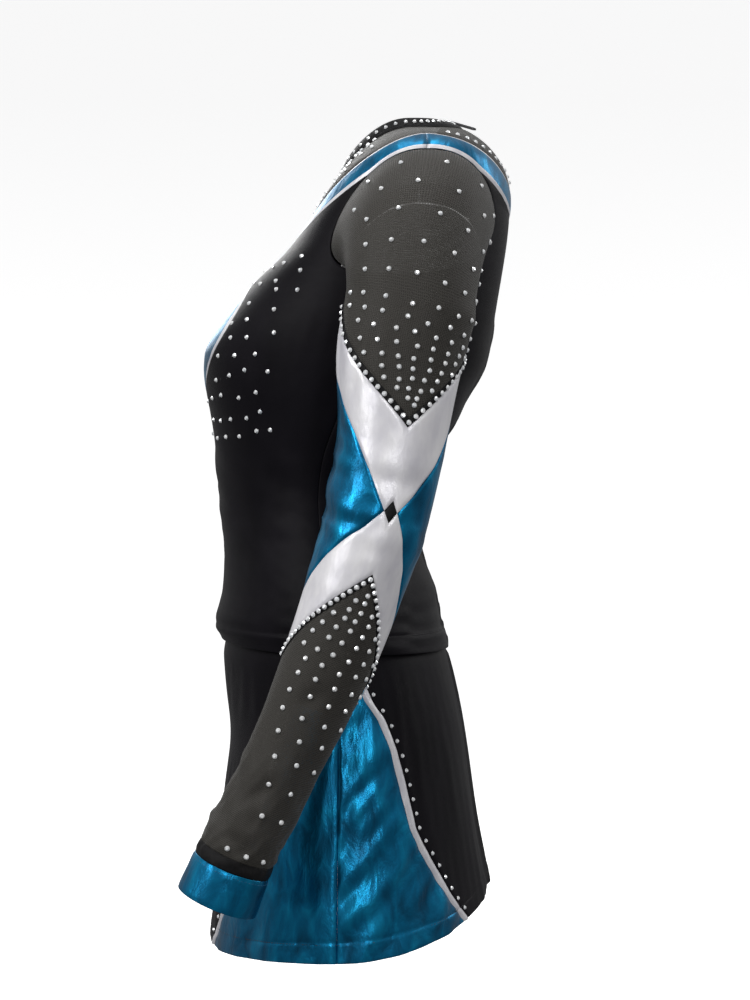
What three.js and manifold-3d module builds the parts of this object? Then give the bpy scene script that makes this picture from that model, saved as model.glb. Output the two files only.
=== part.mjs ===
// A two-piece cheerleading uniform, worn shape: a long-sleeved top and a short flared skirt.
// Millimetres, +Z up. The garment faces -Y, and the wearer's left is +X.
// The origin lies inside the waist, on the mid plane.
import * as THREE from 'three';
import Module from 'manifold-3d';
import { mergeVertices } from 'three/addons/utils/BufferGeometryUtils.js';

// ---------------------------------------------------------------- driving dimensions

const WALL = 1.6;                 // cloth with its seam allowance
const SEAM_GAP = 0.9;             // between two panels along a seam
const TORSO_WIDTH = 282;          // across the chest, side to side
const WAIST_WIDTH = 238;          // across the narrowest place
const HEM_WIDTH = 312;            // across the top's hem
const ARMHOLE_HEIGHT = 106;       // from underarm to shoulder point, over the side
const ARMHOLE_FRONT = 31;         // degrees that the armhole reaches forwards
const ARMHOLE_BACK = 51;          // degrees that the armhole reaches backwards
const UPPER_SLEEVE = 186;         // from the sleeve's crown ring to the elbow
const FOREARM = 311;              // from the elbow to the end of the cuff
const ELBOW_RADIUS = 40;
const WRIST_RADIUS = 32;
const CUFF_LENGTH = 30;
const WRIST_TRIM = 10;
const TRIM_WIDTH = 7;
const SKIRT_WIDTH = 410;          // across the skirt's hem
const SKIRT_LENGTH = 325;         // from the waistband's top to the hem, at the front
const WAISTBAND_HEIGHT = 35;
const PIPING_WIDTH = 10;
const ZIP_CENTRE = { y: 47, z: 267 };
const ZIP_RADIUS = 75;            // the centre back is an arc over the nape
const ZIP_TOP = 79;               // degrees round that arc
const ZIP_BOTTOM = -13;
const ZIP_SLOT = 3.4;             // half the width left open between the back panels
const TAPE_WIDTH = 11;
const SLIDER_ANGLE = 74;
const INSET_LOW = 95;             // stations of the chest inset's two points
const INSET_HIGH = 199;
const INSET_SPREAD = 30;          // degrees, half its width

// ---------------------------------------------------------------- small maths

const RAD = Math.PI / 180;
const clamp = (x, low, high) => Math.min(Math.max(x, low), high);
const mix = (a, b, t) => a + (b - a) * t;

// A smooth curve through values given at rising knots.
function through(knots, values) {
  const last = knots.length - 1;
  const slopes = knots.map((_, i) => {
    const a = Math.max(i - 1, 0);
    const b = Math.min(i + 1, last);
    return (values[b] - values[a]) / (knots[b] - knots[a]);
  });
  return (x) => {
    let i = 0;
    while (i < last - 1 && x > knots[i + 1]) i += 1;
    const span = knots[i + 1] - knots[i];
    const t = (x - knots[i]) / span;
    const t2 = t * t;
    const t3 = t2 * t;
    return (2 * t3 - 3 * t2 + 1) * values[i] + (t3 - 2 * t2 + t) * span * slopes[i]
      + (3 * t2 - 2 * t3) * values[i + 1] + (t3 - t2) * span * slopes[i + 1];
  };
}

// Straight lines through values given at rising knots.
function straight(knots, values) {
  return (x) => {
    let i = 0;
    while (i < knots.length - 2 && x > knots[i + 1]) i += 1;
    return mix(values[i], values[i + 1], (x - knots[i]) / (knots[i + 1] - knots[i]));
  };
}

// ---------------------------------------------------------------- the torso's surface

// Stations run up the side from the hem to the neck: front (y, z), half width, side (y, z), back (y, z).
const HALF_CHEST = TORSO_WIDTH / 2;
const HALF_WAIST = WAIST_WIDTH / 2;
const HALF_HEM = HEM_WIDTH / 2;
const TORSO_ROWS = [
  [-128, -138, -123, HALF_HEM, -30, -128, 66, -132],
  [-105, -143, -106, HALF_HEM - 3, -34, -107, 58, -108],
  [-79, -137, -79, HALF_HEM - 10, -38, -79, 52, -77],
  [-45, -136, -45, HALF_WAIST + 13, -44, -45, 40, -46],
  [0, -140.5, 0, HALF_WAIST, -48, 0, 33, 0],
  [35, -143.5, 35, HALF_WAIST + 2, -44, 35, 46, 35],
  [66, -146, 65, HALF_CHEST - 13, -33, 66, 69, 66],
  [95, -151, 93, HALF_CHEST - 6, -20, 95, 82, 93],
  [122, -154, 120, HALF_CHEST - 2, -6, 122, 98, 120],
  [150, -149, 141, HALF_CHEST, 6, 150, 104.5, 147],
  [187, -118, 183, HALF_CHEST, 18, 187, 111, 184],
  [225, -83, 216, HALF_CHEST, 26, 225, 117, 222],
  [262, -63, 241, HALF_CHEST, 34, 262, 120, 249],
  [293, -52, 259, HALF_CHEST - 7, 43, 293, 122, 271],
  [316, -44, 270, HALF_CHEST - 23, 43, 308, 118, 291],
  [347, -37, 281, HALF_CHEST - 51, 39, 320, 108, 311],
  [372, -31, 291.5, HALF_CHEST - 75, 33, 326, 82, 333],
  [386, -27.5, 304, HALF_CHEST - 83, 30, 335, 60, 341],
];
const torsoColumn = (k) => through(TORSO_ROWS.map((row) => row[0]), TORSO_ROWS.map((row) => row[k]));
const torso = {
  frontY: torsoColumn(1),
  frontZ: torsoColumn(2),
  width: torsoColumn(3),
  sideY: torsoColumn(4),
  sideZ: torsoColumn(5),
  backY: torsoColumn(6),
  backZ: torsoColumn(7),
  roundness: through([-128, 0, 122, 262, 340, 386], [1, 1, 0.86, 0.82, 0.95, 1]),
};
const HEM = -128;
const NAPE_START = 262;           // from here up the centre back follows the zip's arc
const COLLAR_BASE = 372;
const COLLAR_TOP = 386;
const SHOULDER_SEAM = 90;
const napeAngle = through([262, 293, 316, 347, 372, 386], [-14, 3, 18.5, 36, 62, 80]);

function onArc(radius, angle, x = 0) {
  return new THREE.Vector3(
    x,
    ZIP_CENTRE.y + radius * Math.cos(angle * RAD),
    ZIP_CENTRE.z + radius * Math.sin(angle * RAD),
  );
}

// One point of a closed cross-section: angle 0 is the front, 90 the side, 180 the back.
function sectionPoint(s, angle) {
  const sine = Math.abs(Math.sin(angle * RAD));
  const cosine = Math.abs(Math.cos(angle * RAD));
  const far = angle <= 90 ? s.front : s.back;
  return new THREE.Vector3(
    s.width * sine ** s.roundness,
    mix(s.side.y, far.y, cosine ** s.roundness),
    mix(s.side.z, far.z, cosine * cosine),
  );
}

function torsoPoint(angle, v) {
  const nape = onArc(ZIP_RADIUS, napeAngle(v));
  return sectionPoint({
    width: torso.width(v),
    roundness: torso.roundness(v),
    side: { y: torso.sideY(v), z: torso.sideZ(v) },
    front: { y: torso.frontY(v), z: torso.frontZ(v) },
    back: v < NAPE_START ? { y: torso.backY(v), z: torso.backZ(v) } : nape,
  }, angle);
}

// ---------------------------------------------------------------- the skirt's surface

// Depth below the waistband's top as a share of the length: front, half width, side and back.
const HALF_SKIRT = SKIRT_WIDTH / 2;
const SKIRT_TOP = -62;
const SKIRT_ROWS = [
  [0, -130, HALF_HEM - 22, -41, 42, 0, 0],
  [35, -134, HALF_HEM - 12, -36, 51.5, 0, 0],
  [61, -134.5, HALF_HEM - 6, -32, 58.5, 0, 0],
  [78, -136.5, HALF_HEM - 1, -31, 65, 0, 0],
  [108, -133, mix(HALF_HEM, HALF_SKIRT, 0.15), -30, 72.5, 0, 0],
  [145, -128, mix(HALF_HEM, HALF_SKIRT, 0.33), -30, 78.8, 2, 4],
  [194, -135, mix(HALF_HEM, HALF_SKIRT, 0.53), -30, 84.5, 6, 13],
  [238, -139.5, mix(HALF_HEM, HALF_SKIRT, 0.69), -30, 89.7, 10, 21],
  [283, -144, mix(HALF_HEM, HALF_SKIRT, 0.87), -30, 96.2, 15, 31],
  [325, -148, HALF_SKIRT, -30, 102, 19, 42],
];
const SKIRT_DRAWN = 325;
const skirtColumn = (k) => through(SKIRT_ROWS.map((row) => row[0]), SKIRT_ROWS.map((row) => row[k]));
const skirt = {
  frontY: skirtColumn(1),
  width: skirtColumn(2),
  sideY: skirtColumn(3),
  backY: skirtColumn(4),
  sideRise: skirtColumn(5),
  backRise: skirtColumn(6),
};
const TUCKED = 78;                // the part of the skirt that the top covers, which keeps its height

// The depth is measured in drawn millimetres, and everything below the tucked part stretches.
function skirtHeight(depth) {
  const stretch = (SKIRT_LENGTH - TUCKED) / (SKIRT_DRAWN - TUCKED);
  return SKIRT_TOP - (depth < TUCKED ? depth : TUCKED + (depth - TUCKED) * stretch);
}

function skirtPoint(angle, depth) {
  const z = skirtHeight(depth);
  return sectionPoint({
    width: skirt.width(depth),
    roundness: 1,
    side: { y: skirt.sideY(depth), z: z + skirt.sideRise(depth) },
    front: { y: skirt.frontY(depth), z },
    back: { y: skirt.backY(depth), z: z + skirt.backRise(depth) },
  }, angle);
}

// ---------------------------------------------------------------- the sleeve's surface

const UNDERARM = 187;
const ARMHOLE_MIDDLE = UNDERARM + ARMHOLE_HEIGHT / 2;
const ARMHOLE_EASE = 1.2;         // the panels stop this far short of the armhole
const CAP = 100;                  // the stretch of the sleeve's coordinate that its crown takes
const CROWN_RING = { y: 29, z: UNDERARM - 30, radius: 53 };
const SLEEVE_CLEARANCE = 4;       // between the sleeve's inside line and the torso's side
const CROWN_FLATNESS = 0.8;       // the upper arm is narrower from side to side than from front to back
const CROWN_X = HALF_CHEST + SLEEVE_CLEARANCE + CROWN_RING.radius * CROWN_FLATNESS;
const WRIST_X = HALF_SKIRT + 36;
const upperY = through([0, 0.409, 0.774, 1], [0, 0.0806, 0.118, 0.167]);
const upperZ = through([0, 0.409, 0.774, 1], [0, 0.398, 0.763, 0.978]);
const forearmY = through([0, 0.328, 0.63, 0.839, 1], [0, -0.109, -0.2315, -0.325, -0.386]);
const forearmZ = through([0, 0.328, 0.63, 0.839, 1], [0, -0.309, -0.582, -0.7685, -0.916]);
const ELBOW = {
  y: CROWN_RING.y - upperY(1) * UPPER_SLEEVE,
  z: CROWN_RING.z - upperZ(1) * UPPER_SLEEVE,
};
const ELBOW_SHARE = 0.45;         // of the way from the crown to the wrist, sideways
const upperRadius = through([0, 0.409, 0.774, 1], [ELBOW_RADIUS, ELBOW_RADIUS + 3, 50.5, CROWN_RING.radius]);
const forearmRadius = through(
  [0, 0.328, 0.63, 0.839, 1],
  [ELBOW_RADIUS, ELBOW_RADIUS - 5, WRIST_RADIUS - 2, WRIST_RADIUS - 2, WRIST_RADIUS],
);

// The arm's centre line: 0 at the elbow, positive towards the shoulder.
function armCentre(q) {
  const up = q >= 0;
  const share = up ? q / UPPER_SLEEVE : -q / FOREARM;
  const elbowX = mix(CROWN_X, WRIST_X, ELBOW_SHARE);
  const y = up ? upperY(share) * UPPER_SLEEVE : forearmY(share) * FOREARM;
  const z = up ? upperZ(share) * UPPER_SLEEVE : forearmZ(share) * FOREARM;
  const x = up ? mix(elbowX, CROWN_X, share) : mix(elbowX, WRIST_X, share);
  return new THREE.Vector3(x, ELBOW.y + y, ELBOW.z + z);
}

function ringPoint(angle, q) {
  const centre = armCentre(q);
  const step = 4;
  const above = armCentre(clamp(q + step, -FOREARM, UPPER_SLEEVE));
  const below = armCentre(clamp(q - step, -FOREARM, UPPER_SLEEVE));
  const down = new THREE.Vector3(0, below.y - above.y, below.z - above.z).normalize();
  const radius = q >= 0 ? upperRadius(q / UPPER_SLEEVE) : forearmRadius(-q / FOREARM);
  const flatness = mix(1, CROWN_FLATNESS, clamp(q / UPPER_SLEEVE, 0, 1));
  const forward = radius * Math.sin(angle * RAD);
  return new THREE.Vector3(
    centre.x + flatness * radius * Math.cos(angle * RAD),
    centre.y + forward * down.z,
    centre.z - forward * down.y,
  );
}

// The armhole's edge on the torso: angle 0 is the shoulder point, 90 the front, 180 the underarm.
function armholePoint(angle, ease) {
  const reach = (Math.sin(angle * RAD) > 0 ? ARMHOLE_FRONT : ARMHOLE_BACK) - ease / 2;
  const v = ARMHOLE_MIDDLE + (ARMHOLE_HEIGHT / 2 - ease) * Math.cos(angle * RAD);
  return torsoPoint(SHOULDER_SEAM - reach * Math.sin(angle * RAD), v);
}

const CROWN_SLOPE = 0.3;          // how far the crown leans from a quarter ellipse to a straight slope

// Above the crown ring each line curves over the shoulder to the armhole's edge.
function sleevePoint(angle, q) {
  if (q <= UPPER_SLEEVE) return ringPoint(angle, q);
  const ring = ringPoint(angle, UPPER_SLEEVE);
  const edge = armholePoint(angle, 2);
  const turn = (1 - (q - UPPER_SLEEVE) / CAP) * Math.PI / 2;
  const share = turn / (Math.PI / 2);
  return new THREE.Vector3(
    mix(edge.x + WALL, ring.x, mix(Math.sin(turn), share, CROWN_SLOPE)),
    mix(edge.y, ring.y, share * share * (3 - 2 * share)),
    mix(ring.z, edge.z, mix(Math.cos(turn), 1 - share, CROWN_SLOPE)),
  );
}

// ---------------------------------------------------------------- sheets and walls

// A grid of points from place(u, t, side), as loose triangles; a left-hand copy is wound the other way.
function addGrid(triangles, us, ts, place, side) {
  const rows = us.map((u) => ts.map((t) => {
    const p = place(u, t);
    return new THREE.Vector3(p.x * side, p.y, p.z);
  }));
  for (let i = 0; i < us.length - 1; i += 1) {
    for (let j = 0; j < ts.length - 1; j += 1) {
      const a = rows[i][j];
      const b = rows[i + 1][j];
      const c = rows[i + 1][j + 1];
      const d = rows[i][j + 1];
      triangles.push(side > 0 ? [a, b, c] : [a, c, b]);
      triangles.push(side > 0 ? [a, c, d] : [a, d, c]);
    }
  }
}

// Joins loose triangles at their shared corners and drops those without area.
function weld(triangles) {
  const keys = new Map();
  const points = [];
  const faces = [];
  const index = (p) => {
    const key = [p.x, p.y, p.z].map((value) => Math.round(value * 500)).join(',');
    if (!keys.has(key)) {
      keys.set(key, points.length);
      points.push(p);
    }
    return keys.get(key);
  };
  triangles.forEach((corners) => {
    const [a, b, c] = corners.map(index);
    if (a !== b && b !== c && c !== a) faces.push([a, b, c]);
  });
  return { points, faces };
}

// Gives a sheet its wall: two skins half a wall to each side, and a rim along every open edge.
function thicken({ points, faces }, wall) {
  const normals = points.map(() => new THREE.Vector3());
  const edges = new Set();
  faces.forEach(([a, b, c]) => {
    const ab = points[b].clone().sub(points[a]);
    const ac = points[c].clone().sub(points[a]);
    const normal = ab.cross(ac);
    [a, b, c].forEach((k) => normals[k].add(normal));
    [[a, b], [b, c], [c, a]].forEach(([from, to]) => edges.add(`${from}_${to}`));
  });
  normals.forEach((normal) => normal.normalize());
  const count = points.length;
  const skin = (sign) => points.map((p, k) => p.clone().addScaledVector(normals[k], sign * wall / 2));
  const corners = [...skin(1), ...skin(-1)];
  const solid = [];
  faces.forEach(([a, b, c]) => {
    solid.push([a, b, c]);
    solid.push([a + count, c + count, b + count]);
    [[a, b], [b, c], [c, a]].forEach(([from, to]) => {
      if (edges.has(`${to}_${from}`)) return;
      solid.push([to, from, from + count]);
      solid.push([to, from + count, to + count]);
    });
  });
  return closed(corners, solid);
}

// A geometry from corners and triangles, turned so that its faces point outwards.
function closed(corners, solid) {
  const volume = solid.reduce((sum, [a, b, c]) => {
    const cross = corners[b].clone().cross(corners[c]);
    return sum + corners[a].dot(cross);
  }, 0);
  const geometry = new THREE.BufferGeometry();
  geometry.setAttribute('position', new THREE.Float32BufferAttribute(corners.flatMap((p) => p.toArray()), 3));
  geometry.setIndex(solid.flatMap(([a, b, c]) => (volume > 0 ? [a, b, c] : [a, c, b])));
  geometry.computeVertexNormals();
  return geometry;
}

// Evenly spaced values, ends included.
const even = (low, high, steps) => Array.from({ length: steps + 1 }, (_, i) => mix(low, high, i / steps));

// A panel on one side of the body, or on both where it crosses the centre.
function panel(us, steps, place, sides, wall = WALL) {
  const triangles = [];
  sides.forEach((side) => addGrid(triangles, us, even(0, 1, steps), place, side));
  return thicken(weld(triangles), wall);
}

// ---------------------------------------------------------------- finishes

const finish = (color, roughness, metalness = 0) => ({ color, roughness, metalness });
const BLACK_STRETCH = finish(0x19171c, 0.45);
const BLACK_MESH = finish(0x2b2926, 0.8);
const BLUE_FOIL = finish(0x0a6ea0, 0.3, 0.6);
const WHITE_SATIN = finish(0xf2f0f0, 0.35);
const TRIM_BLACK = finish(0x121114, 0.5);
const ZIP_TAPE = finish(0x151416, 0.8);
const ZIP_NYLON = finish(0x1b1a1c, 0.4);
const ZIP_METAL = finish(0x3c3b40, 0.3, 0.9);

const uniform = new THREE.Group();
function piece(name, geometry, look) {
  const mesh = new THREE.Mesh(geometry, new THREE.MeshStandardMaterial(look));
  mesh.name = name;
  uniform.add(mesh);
}
const SIDES = [['left', 1], ['right', -1]];
const BOTH = [1, -1];

// ---------------------------------------------------------------- the top

// The angle at which a panel ends beside the centre-back opening.
function openingAngle(v) {
  const share = (ZIP_SLOT / torso.width(v)) ** (1 / torso.roundness(v));
  return 180 - Math.asin(share) / RAD;
}

const seamAngle = (v) => SEAM_GAP / 2 / (torso.width(v) * RAD);

// How far the armhole reaches at a station, and where its upper edge is at an angle.
function armholeReach(v, most) {
  const half = ARMHOLE_HEIGHT / 2 + ARMHOLE_EASE;
  const share = (v - ARMHOLE_MIDDLE) / half;
  return Math.abs(share) >= 1 ? 0 : (most + ARMHOLE_EASE / 3) * Math.sqrt(1 - share * share);
}

function armholeTop(angle) {
  const most = (angle < SHOULDER_SEAM ? ARMHOLE_FRONT : ARMHOLE_BACK) + ARMHOLE_EASE / 3;
  const share = (angle - SHOULDER_SEAM) / most;
  const half = ARMHOLE_HEIGHT / 2 + ARMHOLE_EASE;
  return Math.abs(share) >= 1 ? 0 : ARMHOLE_MIDDLE + half * Math.sqrt(1 - share * share);
}

// The shoulder stripe: its lower and upper edges as stations, by angle.
const SHOULDER_POINT = ARMHOLE_MIDDLE + ARMHOLE_HEIGHT / 2;
const STRIPE = {
  frontLow: 228,
  backLow: NAPE_START,
  frontHigh: 256,
  backHigh: 293,
  shoulderHigh: SHOULDER_POINT + 29,
};
const stripeLine = (front, back, shoulder) => straight([0, SHOULDER_SEAM, 180], [front, shoulder, back]);
const stripeLow = stripeLine(STRIPE.frontLow, STRIPE.backLow, SHOULDER_POINT);
const stripeHigh = stripeLine(STRIPE.frontHigh, STRIPE.backHigh, STRIPE.shoulderHigh);
const stripeBottom = (angle) => Math.max(stripeLow(angle) + SEAM_GAP, armholeTop(angle));
const frontStripeAngle = (v) => SHOULDER_SEAM * (v - STRIPE.frontLow) / (SHOULDER_POINT - STRIPE.frontLow);
const backStripeAngle = (v) => (
  mix(180, SHOULDER_SEAM, (v - STRIPE.backLow) / (SHOULDER_POINT - STRIPE.backLow))
);

// Half the width of the chest inset's hole, in degrees.
function insetSpread(v) {
  const share = (v - INSET_LOW) / (INSET_HIGH - INSET_LOW);
  return share <= 0 || share >= 1 ? 0 : INSET_SPREAD * Math.sin(Math.PI * share ** 1.3) ** 0.5;
}

const lowerRows = [HEM, -105, -79, -45, -22, 0, 35, 66, 80];
const chestRows = [INSET_LOW, 108, 122, 136, 150, 168, UNDERARM - ARMHOLE_EASE, 190, INSET_HIGH, 213];
const frontAngles = [...even(0, 56, 4), ...even(64, SHOULDER_SEAM - 0.15, 3)];
const backAngles = [...even(SHOULDER_SEAM + 0.15, 125, 4), ...even(132, 180, 4)];
// Beside the stripe the rows end at the stripe's own columns, so that both edges run together.
const besideStripe = (angles) => angles.map((angle) => stripeLow(angle) - SEAM_GAP);
const frontRows = [...lowerRows, ...chestRows, ...besideStripe(frontAngles.slice(0, 5))];
const backRows = [...lowerRows, ...chestRows, 228, 246, ...besideStripe(backAngles.slice(-5).reverse())];

piece('bodice_front', panel(frontRows, 6, (v, t) => {
  const inner = v > INSET_HIGH ? Math.max(frontStripeAngle(v + SEAM_GAP), 0) : insetSpread(v);
  const outer = SHOULDER_SEAM - seamAngle(v) - armholeReach(v, ARMHOLE_FRONT);
  return torsoPoint(mix(inner, outer, t), v);
}, BOTH), BLACK_STRETCH);

// The inset's rows are the bodice's, so that both edges run together; its end rows shrink to points.
const insetRows = [INSET_LOW + 2, ...chestRows.filter((v) => v > INSET_LOW && v < INSET_HIGH), INSET_HIGH - 2];
piece('chest_inset', panel(insetRows, 3, (v, t) => {
  const inside = v > insetRows[0] && v < insetRows.at(-1);
  return torsoPoint(inside ? t * (insetSpread(v) - 4 * seamAngle(v)) : 0, v);
}, BOTH), BLUE_FOIL);

SIDES.forEach(([name, side]) => {
  piece(`bodice_back_${name}`, panel(backRows, 5, (v, t) => {
    const inner = SHOULDER_SEAM + seamAngle(v) + armholeReach(v, ARMHOLE_BACK);
    const outer = Math.min(backStripeAngle(v + SEAM_GAP), 180 - seamAngle(v));
    return torsoPoint(mix(inner, outer, t), v);
  }, [side]), BLACK_STRETCH);
});

// Near the centre back the last column follows the opening's edge.
const backAngle = (angle, v) => Math.min(angle, openingAngle(v));

piece('stripe_front', panel(frontAngles, 1, (angle, t) => {
  const v = mix(stripeBottom(angle), stripeHigh(angle), t);
  return torsoPoint(angle, v);
}, BOTH), BLUE_FOIL);

piece('yoke_front', panel(frontAngles, 4, (angle, t) => {
  const v = mix(stripeHigh(angle) + SEAM_GAP, COLLAR_BASE, t);
  return torsoPoint(angle, v);
}, BOTH), BLACK_MESH);

SIDES.forEach(([name, side]) => {
  piece(`stripe_back_${name}`, panel(backAngles, 1, (angle, t) => {
    const v = mix(stripeBottom(angle), stripeHigh(angle), t);
    return torsoPoint(backAngle(angle, v), v);
  }, [side]), BLUE_FOIL);
  piece(`yoke_back_${name}`, panel(backAngles, 4, (angle, t) => {
    const v = mix(stripeHigh(angle) + SEAM_GAP, COLLAR_BASE, t);
    return torsoPoint(backAngle(angle, v), v);
  }, [side]), BLACK_MESH);
});

piece('collar_band', panel(even(0, 180, 12), 1, (angle, t) => {
  const v = mix(COLLAR_BASE + SEAM_GAP, COLLAR_TOP, t);
  return torsoPoint(backAngle(angle, v), v);
}, BOTH), TRIM_BLACK);

// ---------------------------------------------------------------- the zip

const COIL = { inner: 0.3, outer: 2.4, wall: 1.5 };
const TAPE_DEPTH = 3.1;           // how far the tapes lie inside the cloth's middle
const TAPE_WALL = 0.8;

SIDES.forEach(([name, side]) => {
  piece(`zip_tape_${name}`, panel(even(ZIP_BOTTOM, ZIP_TOP, 12), 1, (angle, t) => (
    onArc(ZIP_RADIUS - TAPE_DEPTH, angle, mix(COIL.inner, TAPE_WIDTH, t))
  ), [side], TAPE_WALL), ZIP_TAPE);
  piece(`zip_coil_${name}`, panel(even(ZIP_BOTTOM + 3, ZIP_TOP - 2, 12), 1, (angle, t) => (
    onArc(ZIP_RADIUS, angle, mix(COIL.inner, COIL.outer, t))
  ), [side], COIL.wall), ZIP_NYLON);
  piece(`zip_top_stop_${name}`, panel(even(ZIP_TOP - 1.5, ZIP_TOP, 1), 1, (angle, t) => (
    onArc(ZIP_RADIUS, angle, mix(COIL.inner, COIL.outer, t))
  ), [side], COIL.wall + 0.4), ZIP_METAL);
});
piece('zip_bottom_stop', panel(even(ZIP_BOTTOM + 0.4, ZIP_BOTTOM + 2.4, 1), 1, (angle, t) => (
  onArc(ZIP_RADIUS, angle, mix(0, COIL.outer, t))
), BOTH, COIL.wall + 0.4), ZIP_METAL);

const SLIDER = {
  halfWidth: 4.4,
  halfAngle: 4,                   // degrees of the zip's arc
  middle: 2.5,                    // its plate's middle, above the tapes' line
  wall: 2.2,
  crownHalf: 1.2,
  crownLength: 4.4,
  crownTop: 5.9,
};
const PULL = {
  halfWidth: 4,
  length: 24,
  thickness: 1,
  axis: 4.7,                      // the turning axis, above the tapes' line
  clearance: 0.5,
  forkDepth: 5.5,
  stub: 0.6,
};

const wasm = await Module();
wasm.setup();

function toManifold(geometry) {
  const bare = geometry.clone();
  ['normal', 'uv'].forEach((name) => bare.deleteAttribute(name));
  const merged = mergeVertices(bare, 1e-4);
  return new wasm.Manifold(new wasm.Mesh({
    numProp: 3,
    vertProperties: new Float32Array(merged.attributes.position.array),
    triVerts: new Uint32Array(merged.index.array),
  }));
}

function fromManifold(solid) {
  const mesh = solid.getMesh();
  const geometry = new THREE.BufferGeometry();
  geometry.setAttribute('position', new THREE.Float32BufferAttribute(mesh.vertProperties, 3));
  geometry.setIndex(Array.from(mesh.triVerts));
  geometry.computeVertexNormals();
  return geometry;
}

// Puts a shape drawn with x across, y down the back and z away from it onto the zip's arc.
function ontoArc(geometry, angle) {
  const outward = new THREE.Vector3(0, Math.cos(angle * RAD), Math.sin(angle * RAD));
  const downward = new THREE.Vector3(0, Math.sin(angle * RAD), -Math.cos(angle * RAD));
  const across = new THREE.Vector3().crossVectors(downward, outward);
  const placed = new THREE.Matrix4().makeBasis(across, downward, outward);
  placed.setPosition(onArc(ZIP_RADIUS, angle));
  return geometry.applyMatrix4(placed);
}

const plateAngles = even(SLIDER_ANGLE - SLIDER.halfAngle, SLIDER_ANGLE + SLIDER.halfAngle, 3);
const sliderPlate = panel(plateAngles, 2, (angle, t) => (
  onArc(ZIP_RADIUS + SLIDER.middle, angle, mix(0, SLIDER.halfWidth, t))
), BOTH, SLIDER.wall);
const crownHeight = SLIDER.crownTop - SLIDER.middle;
const crown = new THREE.BoxGeometry(2 * SLIDER.crownHalf, SLIDER.crownLength, crownHeight);
crown.translate(0, 0, SLIDER.middle + crownHeight / 2);
const placedCrown = toManifold(ontoArc(crown, SLIDER_ANGLE));
piece('zip_slider', fromManifold(toManifold(sliderPlate).add(placedCrown)), ZIP_METAL);

const slot = SLIDER.crownHalf + PULL.clearance;
const pullOutline = new THREE.Shape();
pullOutline.moveTo(-slot, -PULL.stub);
pullOutline.lineTo(-PULL.halfWidth, -PULL.stub);
pullOutline.lineTo(-PULL.halfWidth, PULL.length - PULL.halfWidth);
pullOutline.absarc(0, PULL.length - PULL.halfWidth, PULL.halfWidth, Math.PI, 0, true);
pullOutline.lineTo(PULL.halfWidth, -PULL.stub);
pullOutline.lineTo(slot, -PULL.stub);
pullOutline.lineTo(slot, PULL.forkDepth);
pullOutline.lineTo(-slot, PULL.forkDepth);
const pullTab = new THREE.ExtrudeGeometry(pullOutline, {
  depth: PULL.thickness,
  bevelEnabled: false,
  curveSegments: 6,
});
pullTab.translate(0, 0, PULL.axis - PULL.thickness / 2);
piece('zip_pull', ontoArc(pullTab, SLIDER_ANGLE), ZIP_METAL);

// ---------------------------------------------------------------- the sleeves

// The chevrons are drawn round a line a little behind the arm's outermost line.
const PATTERN_TURN = 15;
const CROSSING = 19;              // the chevrons cross this far above the elbow
const LOZENGE = { spread: 7.5, half: 9 };
const BACK_CORNER = -110;
const FRONT_CORNER = 108;
function chevronLine(middle, back, front, inside) {
  return straight([-180, BACK_CORNER, 0, FRONT_CORNER, 180], [inside, back, middle, front, inside]);
}
function crossingLine(middle, back, front, inside) {
  const { spread } = LOZENGE;
  return straight(
    [-180, BACK_CORNER, -spread, 0, spread, FRONT_CORNER, 180],
    [inside, back, CROSSING, CROSSING + middle, CROSSING, front, inside],
  );
}
const DRAWN_UPPER_SLEEVE = 186;
const upperShare = UPPER_SLEEVE / DRAWN_UPPER_SLEEVE;
const meshEdge = chevronLine(92, 175 * upperShare, 176 * upperShare, 176 * upperShare);
const whiteTop = (beta) => meshEdge(beta) - TRIM_WIDTH;
const whiteBottom = crossingLine(LOZENGE.half, 126 * upperShare, 132 * upperShare, 128 * upperShare);
const lowerWhiteTop = crossingLine(-LOZENGE.half, -110, -66, -100);
const lowerMeshEdge = chevronLine(-37, -150, -120, -150);
const lowerWhiteBottom = (beta) => lowerMeshEdge(beta) + TRIM_WIDTH;
const CUFF_START = -FOREARM + CUFF_LENGTH;
const WRIST_START = CUFF_START + WRIST_TRIM;

const { spread } = LOZENGE;
const loopAngles = [
  ...even(-180, BACK_CORNER, 3),
  ...even(BACK_CORNER, -spread, 4).slice(1),
  0,
  ...even(spread, FRONT_CORNER, 4),
  ...even(FRONT_CORNER, 180, 3).slice(1),
];
const onSleeve = (beta, q) => sleevePoint(beta - PATTERN_TURN, q);
const between = (top, bottom) => (beta, t) => (
  onSleeve(beta, mix(top(beta) - SEAM_GAP / 2, bottom(beta) + SEAM_GAP / 2, t))
);
const level = (q) => () => q;

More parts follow.
